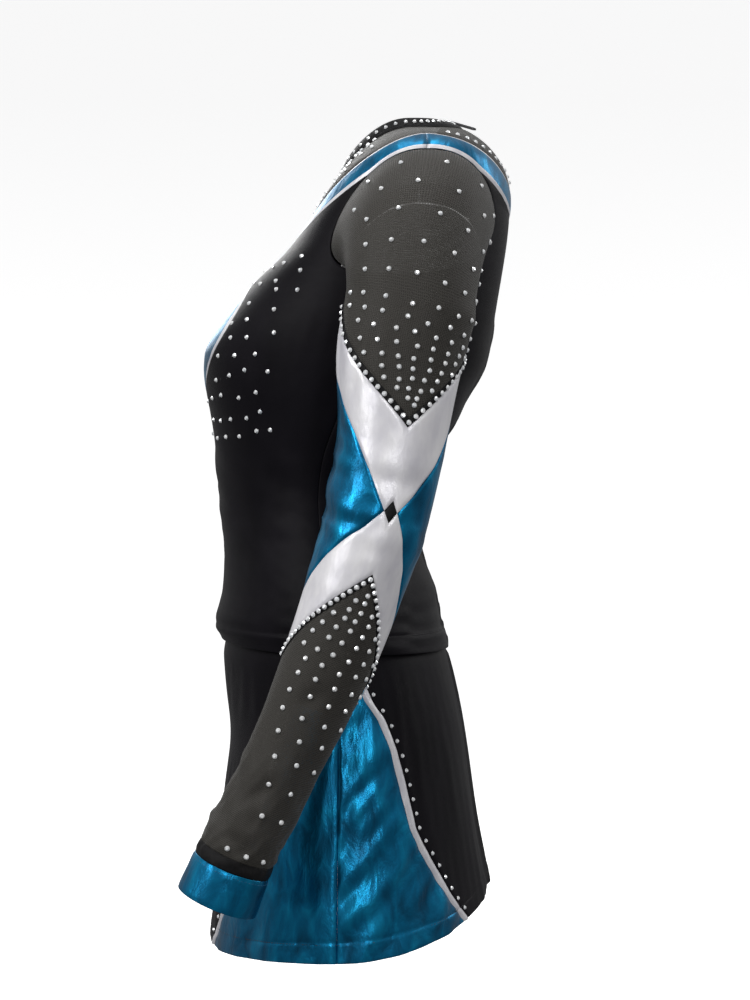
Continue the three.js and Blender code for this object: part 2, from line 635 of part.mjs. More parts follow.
SIDES.forEach(([name, side]) => {
  const sleevePanel = (part, angles, steps, place, look) => (
    piece(`${name}_${part}`, panel(angles, steps, place, [side]), look)
  );
  // The crown's lines are bunched towards the armhole, where they turn most.
  const crownTop = UPPER_SLEEVE + CAP;
  sleevePanel('upper_mesh', loopAngles, 8, (beta, t) => {
    const q = t < 0.75
      ? mix(crownTop, UPPER_SLEEVE, t / 0.75)
      : mix(UPPER_SLEEVE, meshEdge(beta) + SEAM_GAP / 2, (t - 0.75) / 0.25);
    return onSleeve(beta, q);
  }, BLACK_MESH);
  sleevePanel('upper_trim', loopAngles, 1, between(meshEdge, whiteTop), TRIM_BLACK);
  sleevePanel('upper_chevron', loopAngles, 2, between(whiteTop, whiteBottom), WHITE_SATIN);
  sleevePanel('lower_chevron', loopAngles, 1, between(lowerWhiteTop, lowerWhiteBottom), WHITE_SATIN);
  sleevePanel('lower_trim', loopAngles, 1, between(lowerWhiteBottom, lowerMeshEdge), TRIM_BLACK);
  sleevePanel('forearm_mesh', loopAngles, 4, between(lowerMeshEdge, level(WRIST_START)), BLACK_MESH);
  sleevePanel('wrist_trim', loopAngles, 1, between(level(WRIST_START), level(CUFF_START)), TRIM_BLACK);
  sleevePanel('cuff', loopAngles, 1, between(level(CUFF_START), level(-FOREARM)), BLUE_FOIL);

  // The elbow panel is open at the crossing of the chevrons, where the lozenge sits.
  const start = spread + 1.6;
  const behind = loopAngles.filter((beta) => beta > -180 && beta < -start).map((beta) => beta + 360);
  const elbowAngles = [start, ...loopAngles.filter((beta) => beta > start), ...behind, 360 - start];
  const wrapped = (line) => (beta) => line(beta > 180 ? beta - 360 : beta);
  const elbowPlace = between(wrapped(whiteBottom), wrapped(lowerWhiteTop));
  sleevePanel('elbow_panel', elbowAngles, 3, elbowPlace, BLUE_FOIL);
  const lozengeEdge = (beta) => (LOZENGE.half - 1.4) * (1 - Math.abs(beta) / (spread - 1.2));
  sleevePanel('elbow_lozenge', even(-spread + 1.2, spread - 1.2, 4), 2, (beta, t) => (
    onSleeve(beta, CROSSING + mix(lozengeEdge(beta), -lozengeEdge(beta), t))
  ), TRIM_BLACK);
});

// ---------------------------------------------------------------- the skirt

piece('waistband', panel(even(0, 180, 15), 1, (angle, t) => (
  skirtPoint(angle, mix(0, WAISTBAND_HEIGHT, t))
), BOTH, WALL + 0.4), BLACK_STRETCH);

// The coloured side panels open out from the side seam like a godet.
const backSpread = straight(
  [WAISTBAND_HEIGHT, 66, 103, 118, 145, 178, 218, 253, 288, SKIRT_DRAWN],
  [4, 4.5, 12.5, 18, 23, 26.5, 30, 37, 44, 53],
);
const FRONT_TO_BACK = 68 / 53;
const frontSpread = (depth) => backSpread(depth) * FRONT_TO_BACK;
const degrees = (length, depth) => length / (skirt.width(depth) * RAD);
const skirtRows = [WAISTBAND_HEIGHT + SEAM_GAP, 61, 84, 103, 118, 145, 178, 218, 253, 288, SKIRT_DRAWN];
const SIDE_SEAM = 90;
const gapAngle = (depth) => degrees(SEAM_GAP, depth);
const pipeAngle = (depth) => degrees(PIPING_WIDTH, depth);
function skirtPanel(name, steps, low, high, sides, look) {
  const place = (depth, t) => skirtPoint(mix(low(depth), high(depth), t), depth);
  piece(name, panel(skirtRows, steps, place, sides), look);
}

skirtPanel('skirt_front', 6, level(0), (d) => SIDE_SEAM - frontSpread(d) - pipeAngle(d), BOTH, BLACK_STRETCH);
skirtPanel('skirt_back', 5, (d) => SIDE_SEAM + backSpread(d) + pipeAngle(d), level(180), BOTH, BLACK_STRETCH);
SIDES.forEach(([name, side]) => {
  skirtPanel(`${name}_front_piping`, 1, (d) => SIDE_SEAM - frontSpread(d) - pipeAngle(d) + gapAngle(d),
    (d) => SIDE_SEAM - frontSpread(d), [side], WHITE_SATIN);
  skirtPanel(`${name}_side_front`, 3, (d) => SIDE_SEAM - frontSpread(d) + gapAngle(d),
    (d) => SIDE_SEAM - gapAngle(d) / 2, [side], BLUE_FOIL);
  skirtPanel(`${name}_side_back`, 3, (d) => SIDE_SEAM + gapAngle(d) / 2,
    (d) => SIDE_SEAM + backSpread(d) - gapAngle(d), [side], BLUE_FOIL);
  skirtPanel(`${name}_back_piping`, 1, (d) => SIDE_SEAM + backSpread(d),
    (d) => SIDE_SEAM + backSpread(d) + pipeAngle(d) - gapAngle(d), [side], WHITE_SATIN);
});

export default uniform;
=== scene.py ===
"""A two-piece cheerleading uniform in its worn shape: a long-sleeved top and a short flared skirt."""
import math

import bpy
import numpy as np
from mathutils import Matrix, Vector, noise


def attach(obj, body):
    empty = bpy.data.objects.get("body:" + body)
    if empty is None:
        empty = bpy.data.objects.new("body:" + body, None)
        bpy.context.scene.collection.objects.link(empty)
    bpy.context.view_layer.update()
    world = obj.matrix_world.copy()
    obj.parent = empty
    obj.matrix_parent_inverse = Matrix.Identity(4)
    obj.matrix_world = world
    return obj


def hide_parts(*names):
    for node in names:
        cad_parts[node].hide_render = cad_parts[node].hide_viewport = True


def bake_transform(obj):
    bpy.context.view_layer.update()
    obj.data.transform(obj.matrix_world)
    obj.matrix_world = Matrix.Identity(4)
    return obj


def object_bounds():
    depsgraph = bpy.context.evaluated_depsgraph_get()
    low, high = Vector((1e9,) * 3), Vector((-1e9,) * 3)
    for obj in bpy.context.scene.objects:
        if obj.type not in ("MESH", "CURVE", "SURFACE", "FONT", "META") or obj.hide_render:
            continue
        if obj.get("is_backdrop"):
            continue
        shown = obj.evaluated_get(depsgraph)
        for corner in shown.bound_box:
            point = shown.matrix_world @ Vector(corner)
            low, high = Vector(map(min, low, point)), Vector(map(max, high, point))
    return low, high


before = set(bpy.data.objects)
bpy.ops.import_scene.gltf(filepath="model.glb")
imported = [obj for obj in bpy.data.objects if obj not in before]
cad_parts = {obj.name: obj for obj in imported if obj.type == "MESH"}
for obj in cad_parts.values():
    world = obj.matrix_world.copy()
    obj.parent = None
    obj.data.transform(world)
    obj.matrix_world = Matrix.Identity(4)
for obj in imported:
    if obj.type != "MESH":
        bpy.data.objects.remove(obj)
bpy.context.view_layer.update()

MM = 0.001
RAD = math.pi / 180
scene = bpy.context.scene

# ------------------------------------------------------------------ node helpers


def shader_of(material):
    return material.node_tree.nodes["Principled BSDF"]


def new_material(name, color, roughness, **sockets):
    material = bpy.data.materials.new(name)
    material.use_nodes = True
    shader = shader_of(material)
    shader.inputs["Base Color"].default_value = (*color, 1)
    shader.inputs["Roughness"].default_value = roughness
    for socket, value in sockets.items():
        shader.inputs[socket.replace("_", " ")].default_value = value
    return material


class Nodes:
    """Short ways to add and join nodes in one tree."""

    def __init__(self, tree):
        self.tree = tree

    def add(self, kind, settings=None, **inputs):
        node = self.tree.nodes.new(kind)
        for key, value in (settings or {}).items():
            setattr(node, key, value)
        for key, value in inputs.items():
            self.feed(node.inputs[key.replace("_", " ")], value)
        return node

    def feed(self, socket, value):
        if isinstance(value, bpy.types.NodeSocket):
            self.tree.links.new(value, socket)
        else:
            socket.default_value = value

    def math(self, operation, a, b):
        node = self.tree.nodes.new("ShaderNodeMath")
        node.operation = operation
        self.feed(node.inputs[0], a)
        self.feed(node.inputs[1], b)
        return node.outputs[0]

    def ramp(self, value, stops):
        node = self.tree.nodes.new("ShaderNodeValToRGB")
        self.feed(node.inputs[0], value)
        elements = node.color_ramp.elements
        while len(elements) < len(stops):
            elements.new(0.5)
        for element, (place, color) in zip(elements, stops):
            element.position = place
            element.color = (*color, 1)
        return node.outputs[0]

    def cloth_place(self, across, along):
        """The cloth's own coordinates, which are millimetres in the UV map, times two scales."""
        uv = self.add("ShaderNodeTexCoord").outputs["UV"]
        return self.add("ShaderNodeMapping", Vector=uv, Scale=(across, along, 1)).outputs[0]

    def object_place(self):
        return self.add("ShaderNodeTexCoord").outputs["Object"]

    def wave(self, direction, scale, **inputs):
        """Even ribs from 0 to 1 across one direction of the cloth."""
        ribs = self.add("ShaderNodeTexWave", {"bands_direction": direction},
                        Vector=self.cloth_place(scale, scale), **{"Scale": 1.0, **inputs})
        return ribs.outputs["Fac"]

    def clouds(self, place, **inputs):
        """Soft noise from 0 to 1."""
        return self.add("ShaderNodeTexNoise", Vector=place, **{"Scale": 1.0, **inputs}).outputs["Fac"]

    def spread(self, value, low, high, **inputs):
        """A value from 0 to 1 made to run from low to high."""
        return self.add("ShaderNodeMapRange", Value=value, To_Min=low, To_Max=high, **inputs).outputs[0]

    def bump(self, height, strength, distance, invert=False):
        return self.add("ShaderNodeBump", {"invert": invert}, Height=height, Strength=strength,
                        Distance=distance).outputs[0]

    def finish(self, material, **sockets):
        """Joins the made values to the sockets of the material's shader."""
        for name, value in sockets.items():
            self.feed(shader_of(material).inputs[name.replace("_", " ")], value)
        return material


# ------------------------------------------------------------------ camera and light

VIEW_DISTANCE = 1.6
LENS, SENSOR_WIDTH = 63.3, 36
WORLD_STRENGTH = 0.55
LIGHTS = (  # name, place, size, power
    ("key", (1.3, -1.5, 1.2), (0.5, 1.4), 24),
    ("side", (1.9, 0.5, 0.9), (0.3, 1.2), 9),
    ("far_side", (-1.7, -0.6, 1.0), (0.9, 1.2), 14),
    ("back", (-0.8, 1.9, 1.0), (0.6, 1.2), 8),
    ("overhead", (0.2, 0, 2.2), (1.2, 1.2), 14),
)


def make_camera():
    data = bpy.data.cameras.new("camera")
    data.lens = LENS
    data.sensor_width = SENSOR_WIDTH
    camera = bpy.data.objects.new("camera", data)
    camera.location = (VIEW_DISTANCE, 0, 0)
    camera.rotation_euler = (math.pi / 2, 0, math.pi / 2)
    scene.collection.objects.link(camera)
    scene.camera = camera


def make_light(name, place, size, power):
    """A soft panel of light that faces the middle of the uniform."""
    data = bpy.data.lights.new(name, "AREA")
    data.shape = "RECTANGLE"
    data.size, data.size_y = size
    data.energy = power
    light = bpy.data.objects.new(name, data)
    light.location = place
    light.rotation_euler = (-Vector(place)).to_track_quat("-Z", "Y").to_euler()
    scene.collection.objects.link(light)


def make_world():
    """Soft light from all round, paler above than below."""
    world = bpy.data.worlds.new("studio")
    world.use_nodes = True
    background = world.node_tree.nodes["Background"]
    n = Nodes(world.node_tree)
    place = n.add("ShaderNodeTexCoord").outputs["Generated"]
    height = n.add("ShaderNodeSeparateXYZ", Vector=place).outputs["Z"]
    share = n.math("ADD", n.math("MULTIPLY", height, 0.5), 0.5)
    n.feed(background.inputs["Color"], n.ramp(share, [
        (0.3, (0.35, 0.35, 0.36)), (0.5, (0.5, 0.5, 0.5)), (0.75, (1.0, 1.0, 1.0))]))
    background.inputs["Strength"].default_value = WORLD_STRENGTH
    scene.world = world


make_camera()
make_world()
scene.view_settings.view_transform = "Standard"
for light_row in LIGHTS:
    make_light(*light_row)

# ------------------------------------------------------------------ materials


def make_black_stretch():
    """Glossy black stretch knit: fine ribs along the cloth, and a sheen that varies a little."""
    material = new_material("black_stretch", (0.011, 0.010, 0.013), 0.4, Specular_IOR_Level=0.06)
    n = Nodes(material.node_tree)
    ribs = n.wave("X", 0.9, Distortion=0.6, Detail=1.0)
    knit = n.math("MULTIPLY", ribs, n.wave("Y", 0.9, Scale=1.3))
    clouds = n.clouds(n.cloth_place(0.02, 0.012), Detail=3.0)
    return n.finish(
        material,
        Base_Color=n.ramp(clouds, [(0.3, (0.004, 0.0036, 0.005)), (0.7, (0.0075, 0.0066, 0.009))]),
        Roughness=n.spread(clouds, 0.33, 0.5),
        Normal=n.bump(knit, 0.25, 0.00012))


def make_black_mesh():
    """Sheer power net: small holes in staggered rows, through which the far side shows."""
    material = new_material("black_mesh", (0.045, 0.042, 0.037), 0.6, Sheen_Weight=0.1, Sheen_Roughness=0.5,
                            Specular_IOR_Level=0.2)
    n = Nodes(material.node_tree)
    holes = n.add("ShaderNodeTexVoronoi", {"feature": "DISTANCE_TO_EDGE"}, Vector=n.cloth_place(0.75, 0.75),
                  Scale=1.0, Randomness=0.25).outputs["Distance"]
    return n.finish(
        material,
        Alpha=n.spread(holes, 0.92, 0.5, From_Min=0.05, From_Max=0.32),
        Normal=n.bump(holes, 0.3, 0.0002, invert=True))


def make_blue_foil():
    """Wet-look blue foil printed on stretch cloth: metallic, crumpled, with tiny breaks in the foil, and
    painted shade and highlight: its colour is darker in the crumple's hollows and lighter on its crests.
    """
    material = new_material("blue_foil", (0.0, 0.14, 0.33), 0.3, Metallic=0.85, Specular_IOR_Level=0.6)
    n = Nodes(material.node_tree)
    crumple = n.clouds(n.cloth_place(0.05, 0.03), Detail=4.0, Distortion=0.5)
    breaks = n.add("ShaderNodeTexVoronoi", Vector=n.cloth_place(1.1, 1.1), Scale=1.0).outputs["Distance"]
    height = n.math("ADD", crumple, n.math("MULTIPLY", breaks, 0.02))
    return n.finish(
        material,
        # Painted shade and highlight: the base colour follows the crumple's height, dark in its hollows and
        # bright on its crests.
        Base_Color=n.ramp(crumple, [
            (0.28, (0.0, 0.07, 0.15)), (0.5, (0.0, 0.14, 0.29)), (0.75, (0.003, 0.26, 0.48))]),
        Roughness=n.spread(breaks, 0.24, 0.42),
        Normal=n.bump(height, 0.4, 0.004))


def make_white_satin():
    """White foil-backed satin, pearly, with soft creases and painted shade: its colour darkens where the
    creases dip.
    """
    material = new_material("white_satin", (0.74, 0.73, 0.76), 0.34, Metallic=0.15,
                            Sheen_Weight=0.2, Specular_IOR_Level=0.6)
    n = Nodes(material.node_tree)
    creases = n.clouds(n.cloth_place(0.05, 0.025), Detail=3.0)
    height = n.math("ADD", creases, n.math("MULTIPLY", n.wave("DIAGONAL", 1.2), 0.012))
    return n.finish(
        material,
        # Painted shade: the base colour follows the creases' height, darker in their hollows.
        Base_Color=n.ramp(creases, [(0.3, (0.6, 0.59, 0.64)), (0.65, (0.8, 0.79, 0.81))]),
        Normal=n.bump(height, 0.4, 0.003))


def make_matt_cloth(name, color, roughness, specular, ribs, grain, shades, bump):
    """Dull cloth with a rib and a fine change of shade."""
    material = new_material(name, color, roughness, Specular_IOR_Level=specular)
    n = Nodes(material.node_tree)
    shade = n.clouds(n.cloth_place(grain, grain))
    return n.finish(
        material,
        Base_Color=n.ramp(shade, list(zip((0.3, 0.7), shades))),
        Normal=n.bump(n.wave(*ribs), *bump))


def make_object_grain(name, color, roughness, scale, **sockets):
    """A plain finish whose gloss and shade vary in fine grain, for the zip and the threads."""
    material = new_material(name, color, roughness, **sockets)
    n = Nodes(material.node_tree)
    grain = n.clouds(n.object_place(), Scale=scale, Detail=2.0)
    dark, light = (tuple(c * k for c in color) for k in (0.75, 1.25))
    return n.finish(
        material,
        Base_Color=n.ramp(grain, [(0.3, dark), (0.7, light)]),
        Normal=n.bump(grain, 0.2, 0.0001))


def make_rhinestone():
    """Foil-backed crystal: bright, almost a mirror, with a tint that varies from stone to stone."""
    material = new_material("rhinestone", (0.86, 0.89, 0.93), 0.12, Metallic=0.35, Specular_IOR_Level=0.8)
    n = Nodes(material.node_tree)
    tint = n.clouds(n.object_place(), Scale=220.0)
    return n.finish(material, Base_Color=n.ramp(tint, [(0.3, (0.8, 0.83, 0.86)), (0.7, (1.0, 1.0, 1.0))]))


LOOKS = {
    "black_stretch": make_black_stretch(),
    "black_mesh": make_black_mesh(),
    "blue_foil": make_blue_foil(),
    "white_satin": make_white_satin(),
    "trim_black": make_matt_cloth("trim_black", (0.01, 0.0095, 0.01), 0.5, 0.12, ("Y", 0.8), 0.3,
                                  ((0.005, 0.005, 0.0055), (0.009, 0.0085, 0.009)), (0.3, 0.0002)),
    "lining": make_matt_cloth("lining", (0.012, 0.0115, 0.012), 0.9, 0.05, ("DIAGONAL", 0.7), 0.2,
                              ((0.009, 0.0087, 0.009), (0.015, 0.0145, 0.015)), (0.2, 0.0001)),
    "zip_tape": make_object_grain("zip_tape", (0.01, 0.01, 0.011), 0.8, 900.0),
    "zip_nylon": make_object_grain("zip_nylon", (0.012, 0.012, 0.013), 0.4, 700.0),
    "zip_metal": make_object_grain("zip_metal", (0.06, 0.06, 0.065), 0.3, 400.0, Metallic=0.9),
    "rhinestone": make_rhinestone(),
    "black_thread": make_object_grain("black_thread", (0.02, 0.019, 0.022), 0.55, 1500.0),
    "blue_thread": make_object_grain("blue_thread", (0.0, 0.09, 0.2), 0.5, 1500.0),
}

# ------------------------------------------------------------------ the floor

FLOOR_HEIGHT = -0.62
FLOOR_RADIUS, SWEEP_RADIUS, BACKDROP_HEIGHT = 6.0, 3.0, 20.0
SWEEP_STEPS, FLOOR_SPOKES = 12, 48


def make_floor():
    """A wide pale sweep: a floor that curves up into a backdrop on every side."""
    profile = [(FLOOR_RADIUS, 0.0)]
    for k in range(1, SWEEP_STEPS + 1):
        angle = math.pi / 2 * k / SWEEP_STEPS
        profile.append((FLOOR_RADIUS + SWEEP_RADIUS * math.sin(angle),
                        SWEEP_RADIUS * (1 - math.cos(angle))))
    profile.append((FLOOR_RADIUS + SWEEP_RADIUS, BACKDROP_HEIGHT))
    turns = [2 * math.pi * s / FLOOR_SPOKES for s in range(FLOOR_SPOKES)]
    verts = [(r * math.cos(turn), r * math.sin(turn), FLOOR_HEIGHT + z)
             for r, z in profile for turn in turns]
    centre = len(verts)
    verts.append((0, 0, FLOOR_HEIGHT))
    faces = [(centre, s, (s + 1) % FLOOR_SPOKES) for s in range(FLOOR_SPOKES)]
    for ring in range(len(profile) - 1):
        for s in range(FLOOR_SPOKES):
            a = ring * FLOOR_SPOKES + s
            b = ring * FLOOR_SPOKES + (s + 1) % FLOOR_SPOKES
            faces.append((a, a + FLOOR_SPOKES, b + FLOOR_SPOKES, b))
    mesh = bpy.data.meshes.new("floor")
    mesh.from_pydata(verts, [], faces)
    mesh.shade_smooth()
    mesh.materials.append(new_material("floor_paper", (0.93, 0.93, 0.93), 0.9,
                                       Emission_Color=(1, 1, 1, 1), Emission_Strength=0.6))
    floor = bpy.data.objects.new("floor", mesh)
    scene.collection.objects.link(floor)
    # The paper's own glow only whitens the backdrop; it doesn't light the cloth.
    floor.visible_glossy = False
    floor.visible_diffuse = False
    floor.visible_shadow = False
    floor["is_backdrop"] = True


make_floor()

# ------------------------------------------------------------------ curves through given values


def through(knots, values):
    """A smooth curve through values at rising knots, for whole arrays."""
    knots = np.array(knots, float)
    values = np.array(values, float)
    last = len(knots) - 1
    before = np.maximum(np.arange(last + 1) - 1, 0)
    after = np.minimum(np.arange(last + 1) + 1, last)
    slopes = (values[after] - values[before]) / (knots[after] - knots[before])

    def curve(x):
        x = np.asarray(x, float)
        i = np.clip(np.searchsorted(knots, x) - 1, 0, last - 1)
        span = knots[i + 1] - knots[i]
        t = (x - knots[i]) / span
        t2, t3 = t * t, t * t * t
        return ((2 * t3 - 3 * t2 + 1) * values[i] + (t3 - 2 * t2 + t) * span * slopes[i]
                + (3 * t2 - 2 * t3) * values[i + 1] + (t3 - t2) * span * slopes[i + 1])
    return curve


def straight(knots, values):
    return lambda x: np.interp(x, knots, values)


def mix(a, b, t):
    return a + (b - a) * t


def smooth(x):
    x = np.clip(x, 0, 1)
    return x * x * (3 - 2 * x)


def bell(x, middle, width):
    """One soft bump, 1 at its middle."""
    return np.exp(-(((x - middle) / width) ** 2))


def ripple(x, y, z=0.0):
    """Smooth noise from -1 to 1 over arrays."""
    x, y, z = np.broadcast_arrays(np.asarray(x, float), y, z)
    flat = [noise.noise(Vector(p)) for p in zip(x.ravel(), y.ravel(), z.ravel())]
    return np.array(flat).reshape(x.shape)


# ------------------------------------------------------------------ the torso, as in the frame

HALF_CHEST = 141
HALF_WAIST = 119
HALF_HEM = 156
# Station, front y and z, half width, side y and z, back y and z, from the hem to the collar.
TORSO_ROWS = np.array([
    [-128, -138, -123, HALF_HEM, -30, -128, 66, -132],
    [-105, -143, -106, HALF_HEM - 3, -34, -107, 58, -108],
    [-79, -137, -79, HALF_HEM - 10, -38, -79, 52, -77],
    [-45, -136, -45, HALF_WAIST + 13, -44, -45, 40, -46],
    [0, -140.5, 0, HALF_WAIST, -48, 0, 33, 0],
    [35, -143.5, 35, HALF_WAIST + 2, -44, 35, 46, 35],
    [66, -146, 65, HALF_CHEST - 13, -33, 66, 69, 66],
    [95, -151, 93, HALF_CHEST - 6, -20, 95, 82, 93],
    [122, -154, 120, HALF_CHEST - 2, -6, 122, 98, 120],
    [150, -149, 141, HALF_CHEST, 6, 150, 104.5, 147],
    [187, -118, 183, HALF_CHEST, 18, 187, 111, 184],
    [225, -83, 216, HALF_CHEST, 26, 225, 117, 222],
    [262, -63, 241, HALF_CHEST, 34, 262, 120, 249],
    [293, -52, 259, HALF_CHEST - 7, 43, 293, 122, 271],
    [316, -44, 270, HALF_CHEST - 23, 43, 308, 118, 291],
    [347, -37, 281, HALF_CHEST - 51, 39, 320, 108, 311],
    [372, -31, 291.5, HALF_CHEST - 75, 33, 326, 82, 333],
    [386, -27.5, 304, HALF_CHEST - 83, 30, 335, 60, 341],
])
FRONT_Y, FRONT_Z, WIDTH, SIDE_Y, SIDE_Z, BACK_Y, BACK_Z = (
    through(TORSO_ROWS[:, 0], TORSO_ROWS[:, k]) for k in range(1, 8))
ROUNDNESS = through([-128, 0, 122, 262, 340, 386], [1, 1, 0.86, 0.82, 0.95, 1])
NAPE_ANGLE = through([262, 293, 316, 347, 372, 386], [-14, 3, 18.5, 36, 62, 80])
HEM, NAPE_START, COLLAR_BASE, COLLAR_TOP = -128, 262, 372, 386
ZIP_Y, ZIP_Z, ZIP_RADIUS = 47, 267, 75
TORSO_RADIUS = 130


def on_arc(radius, angle, x=0.0):
    """A point on the arc of the zip over the nape, in millimetres."""
    angle = np.asarray(angle, float) * RAD
    x = np.broadcast_to(x, angle.shape)
    return np.stack([x, ZIP_Y + radius * np.cos(angle), ZIP_Z + radius * np.sin(angle)], -1)


def section(angle, width, roundness, side, front, back):
    """Points of closed cross-sections: 0 is the front, 90 the left, 180 the back, and minus is right."""
    sine = np.abs(np.sin(angle * RAD))
    cosine = np.abs(np.cos(angle * RAD))
    ahead = np.abs(angle) <= 90
    far_y = np.where(ahead, front[0], back[0])
    far_z = np.where(ahead, front[1], back[1])
    x = width * sine ** roundness * np.sign(angle)
    return np.stack([x, mix(side[0], far_y, cosine ** roundness), mix(side[1], far_z, cosine ** 2)], -1)


def torso_shape(angle, v):
    """A point of the torso: 0 at the front, and v rises from the hem to the collar and over the nape."""
    angle, v = np.broadcast_arrays(np.asarray(angle, float), np.asarray(v, float))
    nape = on_arc(ZIP_RADIUS, NAPE_ANGLE(v))
    low = v < NAPE_START
    back = (np.where(low, BACK_Y(v), nape[..., 1]), np.where(low, BACK_Z(v), nape[..., 2]))
    return section(angle, WIDTH(v), ROUNDNESS(v), (SIDE_Y(v), SIDE_Z(v)), (FRONT_Y(v), FRONT_Z(v)), back)


# ------------------------------------------------------------------ the skirt, as in the frame

HALF_SKIRT = 205
SKIRT_TOP = -62
SKIRT_LENGTH = 325
WAISTBAND_HEIGHT = 35
SKIRT_RADIUS = 170


def spread_width(share):
    return mix(HALF_HEM, HALF_SKIRT, share)


# Depth, front y, half width, side y, back y, side rise, back rise, from the waist to the hem.
SKIRT_ROWS = np.array([
    [0, -130, HALF_HEM - 22, -41, 42, 0, 0],
    [35, -134, HALF_HEM - 12, -36, 51.5, 0, 0],
    [61, -134.5, HALF_HEM - 6, -32, 58.5, 0, 0],
    [78, -136.5, HALF_HEM - 1, -31, 65, 0, 0],
    [108, -133, spread_width(0.15), -30, 72.5, 0, 0],
    [145, -128, spread_width(0.33), -30, 78.8, 2, 4],
    [194, -135, spread_width(0.53), -30, 84.5, 6, 13],
    [238, -139.5, spread_width(0.69), -30, 89.7, 10, 21],
    [283, -144, spread_width(0.87), -30, 96.2, 15, 31],
    [325, -148, HALF_SKIRT, -30, 102, 19, 42],
])
S_FRONT_Y, S_WIDTH, S_SIDE_Y, S_BACK_Y, S_SIDE_RISE, S_BACK_RISE = (
    through(SKIRT_ROWS[:, 0], SKIRT_ROWS[:, k]) for k in range(1, 7))


def skirt_shape(angle, depth):
    """A point of the skirt, so far below the top of its waistband."""
    angle, depth = np.broadcast_arrays(np.asarray(angle, float), np.asarray(depth, float))
    z = SKIRT_TOP - depth
    return section(angle, S_WIDTH(depth), 1.0, (S_SIDE_Y(depth), z + S_SIDE_RISE(depth)),
                   (S_FRONT_Y(depth), z), (S_BACK_Y(depth), z + S_BACK_RISE(depth)))


# ------------------------------------------------------------------ the sleeve, as in the frame

UPPER_SLEEVE, FOREARM, CAP = 186, 311, 100
CUFF_LENGTH = 30
CUFF_START = -FOREARM + CUFF_LENGTH
UNDERARM, ARMHOLE_HEIGHT, ARMHOLE_FRONT, ARMHOLE_BACK = 187, 106, 31, 51
ARMHOLE_MIDDLE = UNDERARM + ARMHOLE_HEIGHT / 2
CROWN_Y, CROWN_Z, CROWN_RADIUS, CROWN_FLATNESS = 29, UNDERARM - 30, 53, 0.8
CROWN_X = HALF_CHEST + 4 + CROWN_RADIUS * CROWN_FLATNESS
WRIST_X = HALF_SKIRT + 36
ELBOW_SHARE = 0.45
CROWN_SLOPE = 0.3
ARMHOLE_EASE = 0.8
CAD_WALL = 1.6
SLEEVE_RADIUS = 42
RING_STEP = 4
UPPER_KNOTS, LOWER_KNOTS = [0, 0.409, 0.774, 1], [0, 0.328, 0.63, 0.839, 1]
UPPER_Y = through(UPPER_KNOTS, [0, 0.0806, 0.118, 0.167])
UPPER_Z = through(UPPER_KNOTS, [0, 0.398, 0.763, 0.978])
LOWER_Y = through(LOWER_KNOTS, [0, -0.109, -0.2315, -0.325, -0.386])
LOWER_Z = through(LOWER_KNOTS, [0, -0.309, -0.582, -0.7685, -0.916])
UPPER_RADIUS = through(UPPER_KNOTS, [40, 43, 50.5, CROWN_RADIUS])
LOWER_RADIUS = through(LOWER_KNOTS, [40, 35, 30, 30, 32])
ELBOW_Y = CROWN_Y - 0.167 * UPPER_SLEEVE
ELBOW_Z = CROWN_Z - 0.978 * UPPER_SLEEVE
ELBOW_X = mix(CROWN_X, WRIST_X, ELBOW_SHARE)


def arm_centre(q):
    """The arm's centre line: 0 at the elbow, positive towards the shoulder."""
    q = np.asarray(q, float)
    up = q >= 0
    share = np.where(up, q / UPPER_SLEEVE, -q / FOREARM)
    x = mix(ELBOW_X, np.where(up, CROWN_X, WRIST_X), share)
    y = ELBOW_Y + np.where(up, UPPER_Y(share) * UPPER_SLEEVE, LOWER_Y(share) * FOREARM)
    z = ELBOW_Z + np.where(up, UPPER_Z(share) * UPPER_SLEEVE, LOWER_Z(share) * FOREARM)
    return np.stack([x, y, z], -1)


def ring_shape(angle, q):
    """Rings square to the arm's centre line."""
    centre = arm_centre(q)
    below = arm_centre(np.clip(q - RING_STEP, -FOREARM, UPPER_SLEEVE))
    above = arm_centre(np.clip(q + RING_STEP, -FOREARM, UPPER_SLEEVE))
    down = below - above
    down[..., 0] = 0
    down /= np.linalg.norm(down, axis=-1, keepdims=True)
    radius = np.where(q >= 0, UPPER_RADIUS(q / UPPER_SLEEVE), LOWER_RADIUS(-q / FOREARM))
    flatness = mix(1, CROWN_FLATNESS, np.clip(q / UPPER_SLEEVE, 0, 1))
    forward = radius * np.sin(angle * RAD)
    x = centre[..., 0] + flatness * radius * np.cos(angle * RAD)
    y = centre[..., 1] + forward * down[..., 2]
    z = centre[..., 2] - forward * down[..., 1]
    return np.stack([x, y, z], -1)


def sleeve_shape(angle, q):
    """Up to the crown ring a tube, and above it lines that curve over the shoulder to the armhole."""
    angle, q = np.broadcast_arrays(np.asarray(angle, float), np.asarray(q, float))
    ring = ring_shape(angle, np.minimum(q, UPPER_SLEEVE))
    reach = np.where(np.sin(angle * RAD) > 0, ARMHOLE_FRONT, ARMHOLE_BACK) - ARMHOLE_EASE / 2
    v = ARMHOLE_MIDDLE + (ARMHOLE_HEIGHT / 2 - ARMHOLE_EASE) * np.cos(angle * RAD)
    edge = torso_shape(90 - reach * np.sin(angle * RAD), v)
    share = np.clip(1 - (q - UPPER_SLEEVE) / CAP, 0, 1)
    turn = share * math.pi / 2
    x = mix(edge[..., 0] + CAD_WALL / 2, ring[..., 0], mix(np.sin(turn), share, CROWN_SLOPE))
    y = mix(edge[..., 1], ring[..., 1], smooth(share))
    z = mix(ring[..., 2], edge[..., 2], mix(np.cos(turn), 1 - share, CROWN_SLOPE))
    crown = np.stack([x, y, z], -1)
    return np.where((q > UPPER_SLEEVE)[..., None], crown, ring)


# ------------------------------------------------------------------ folds, in millimetres off the surface

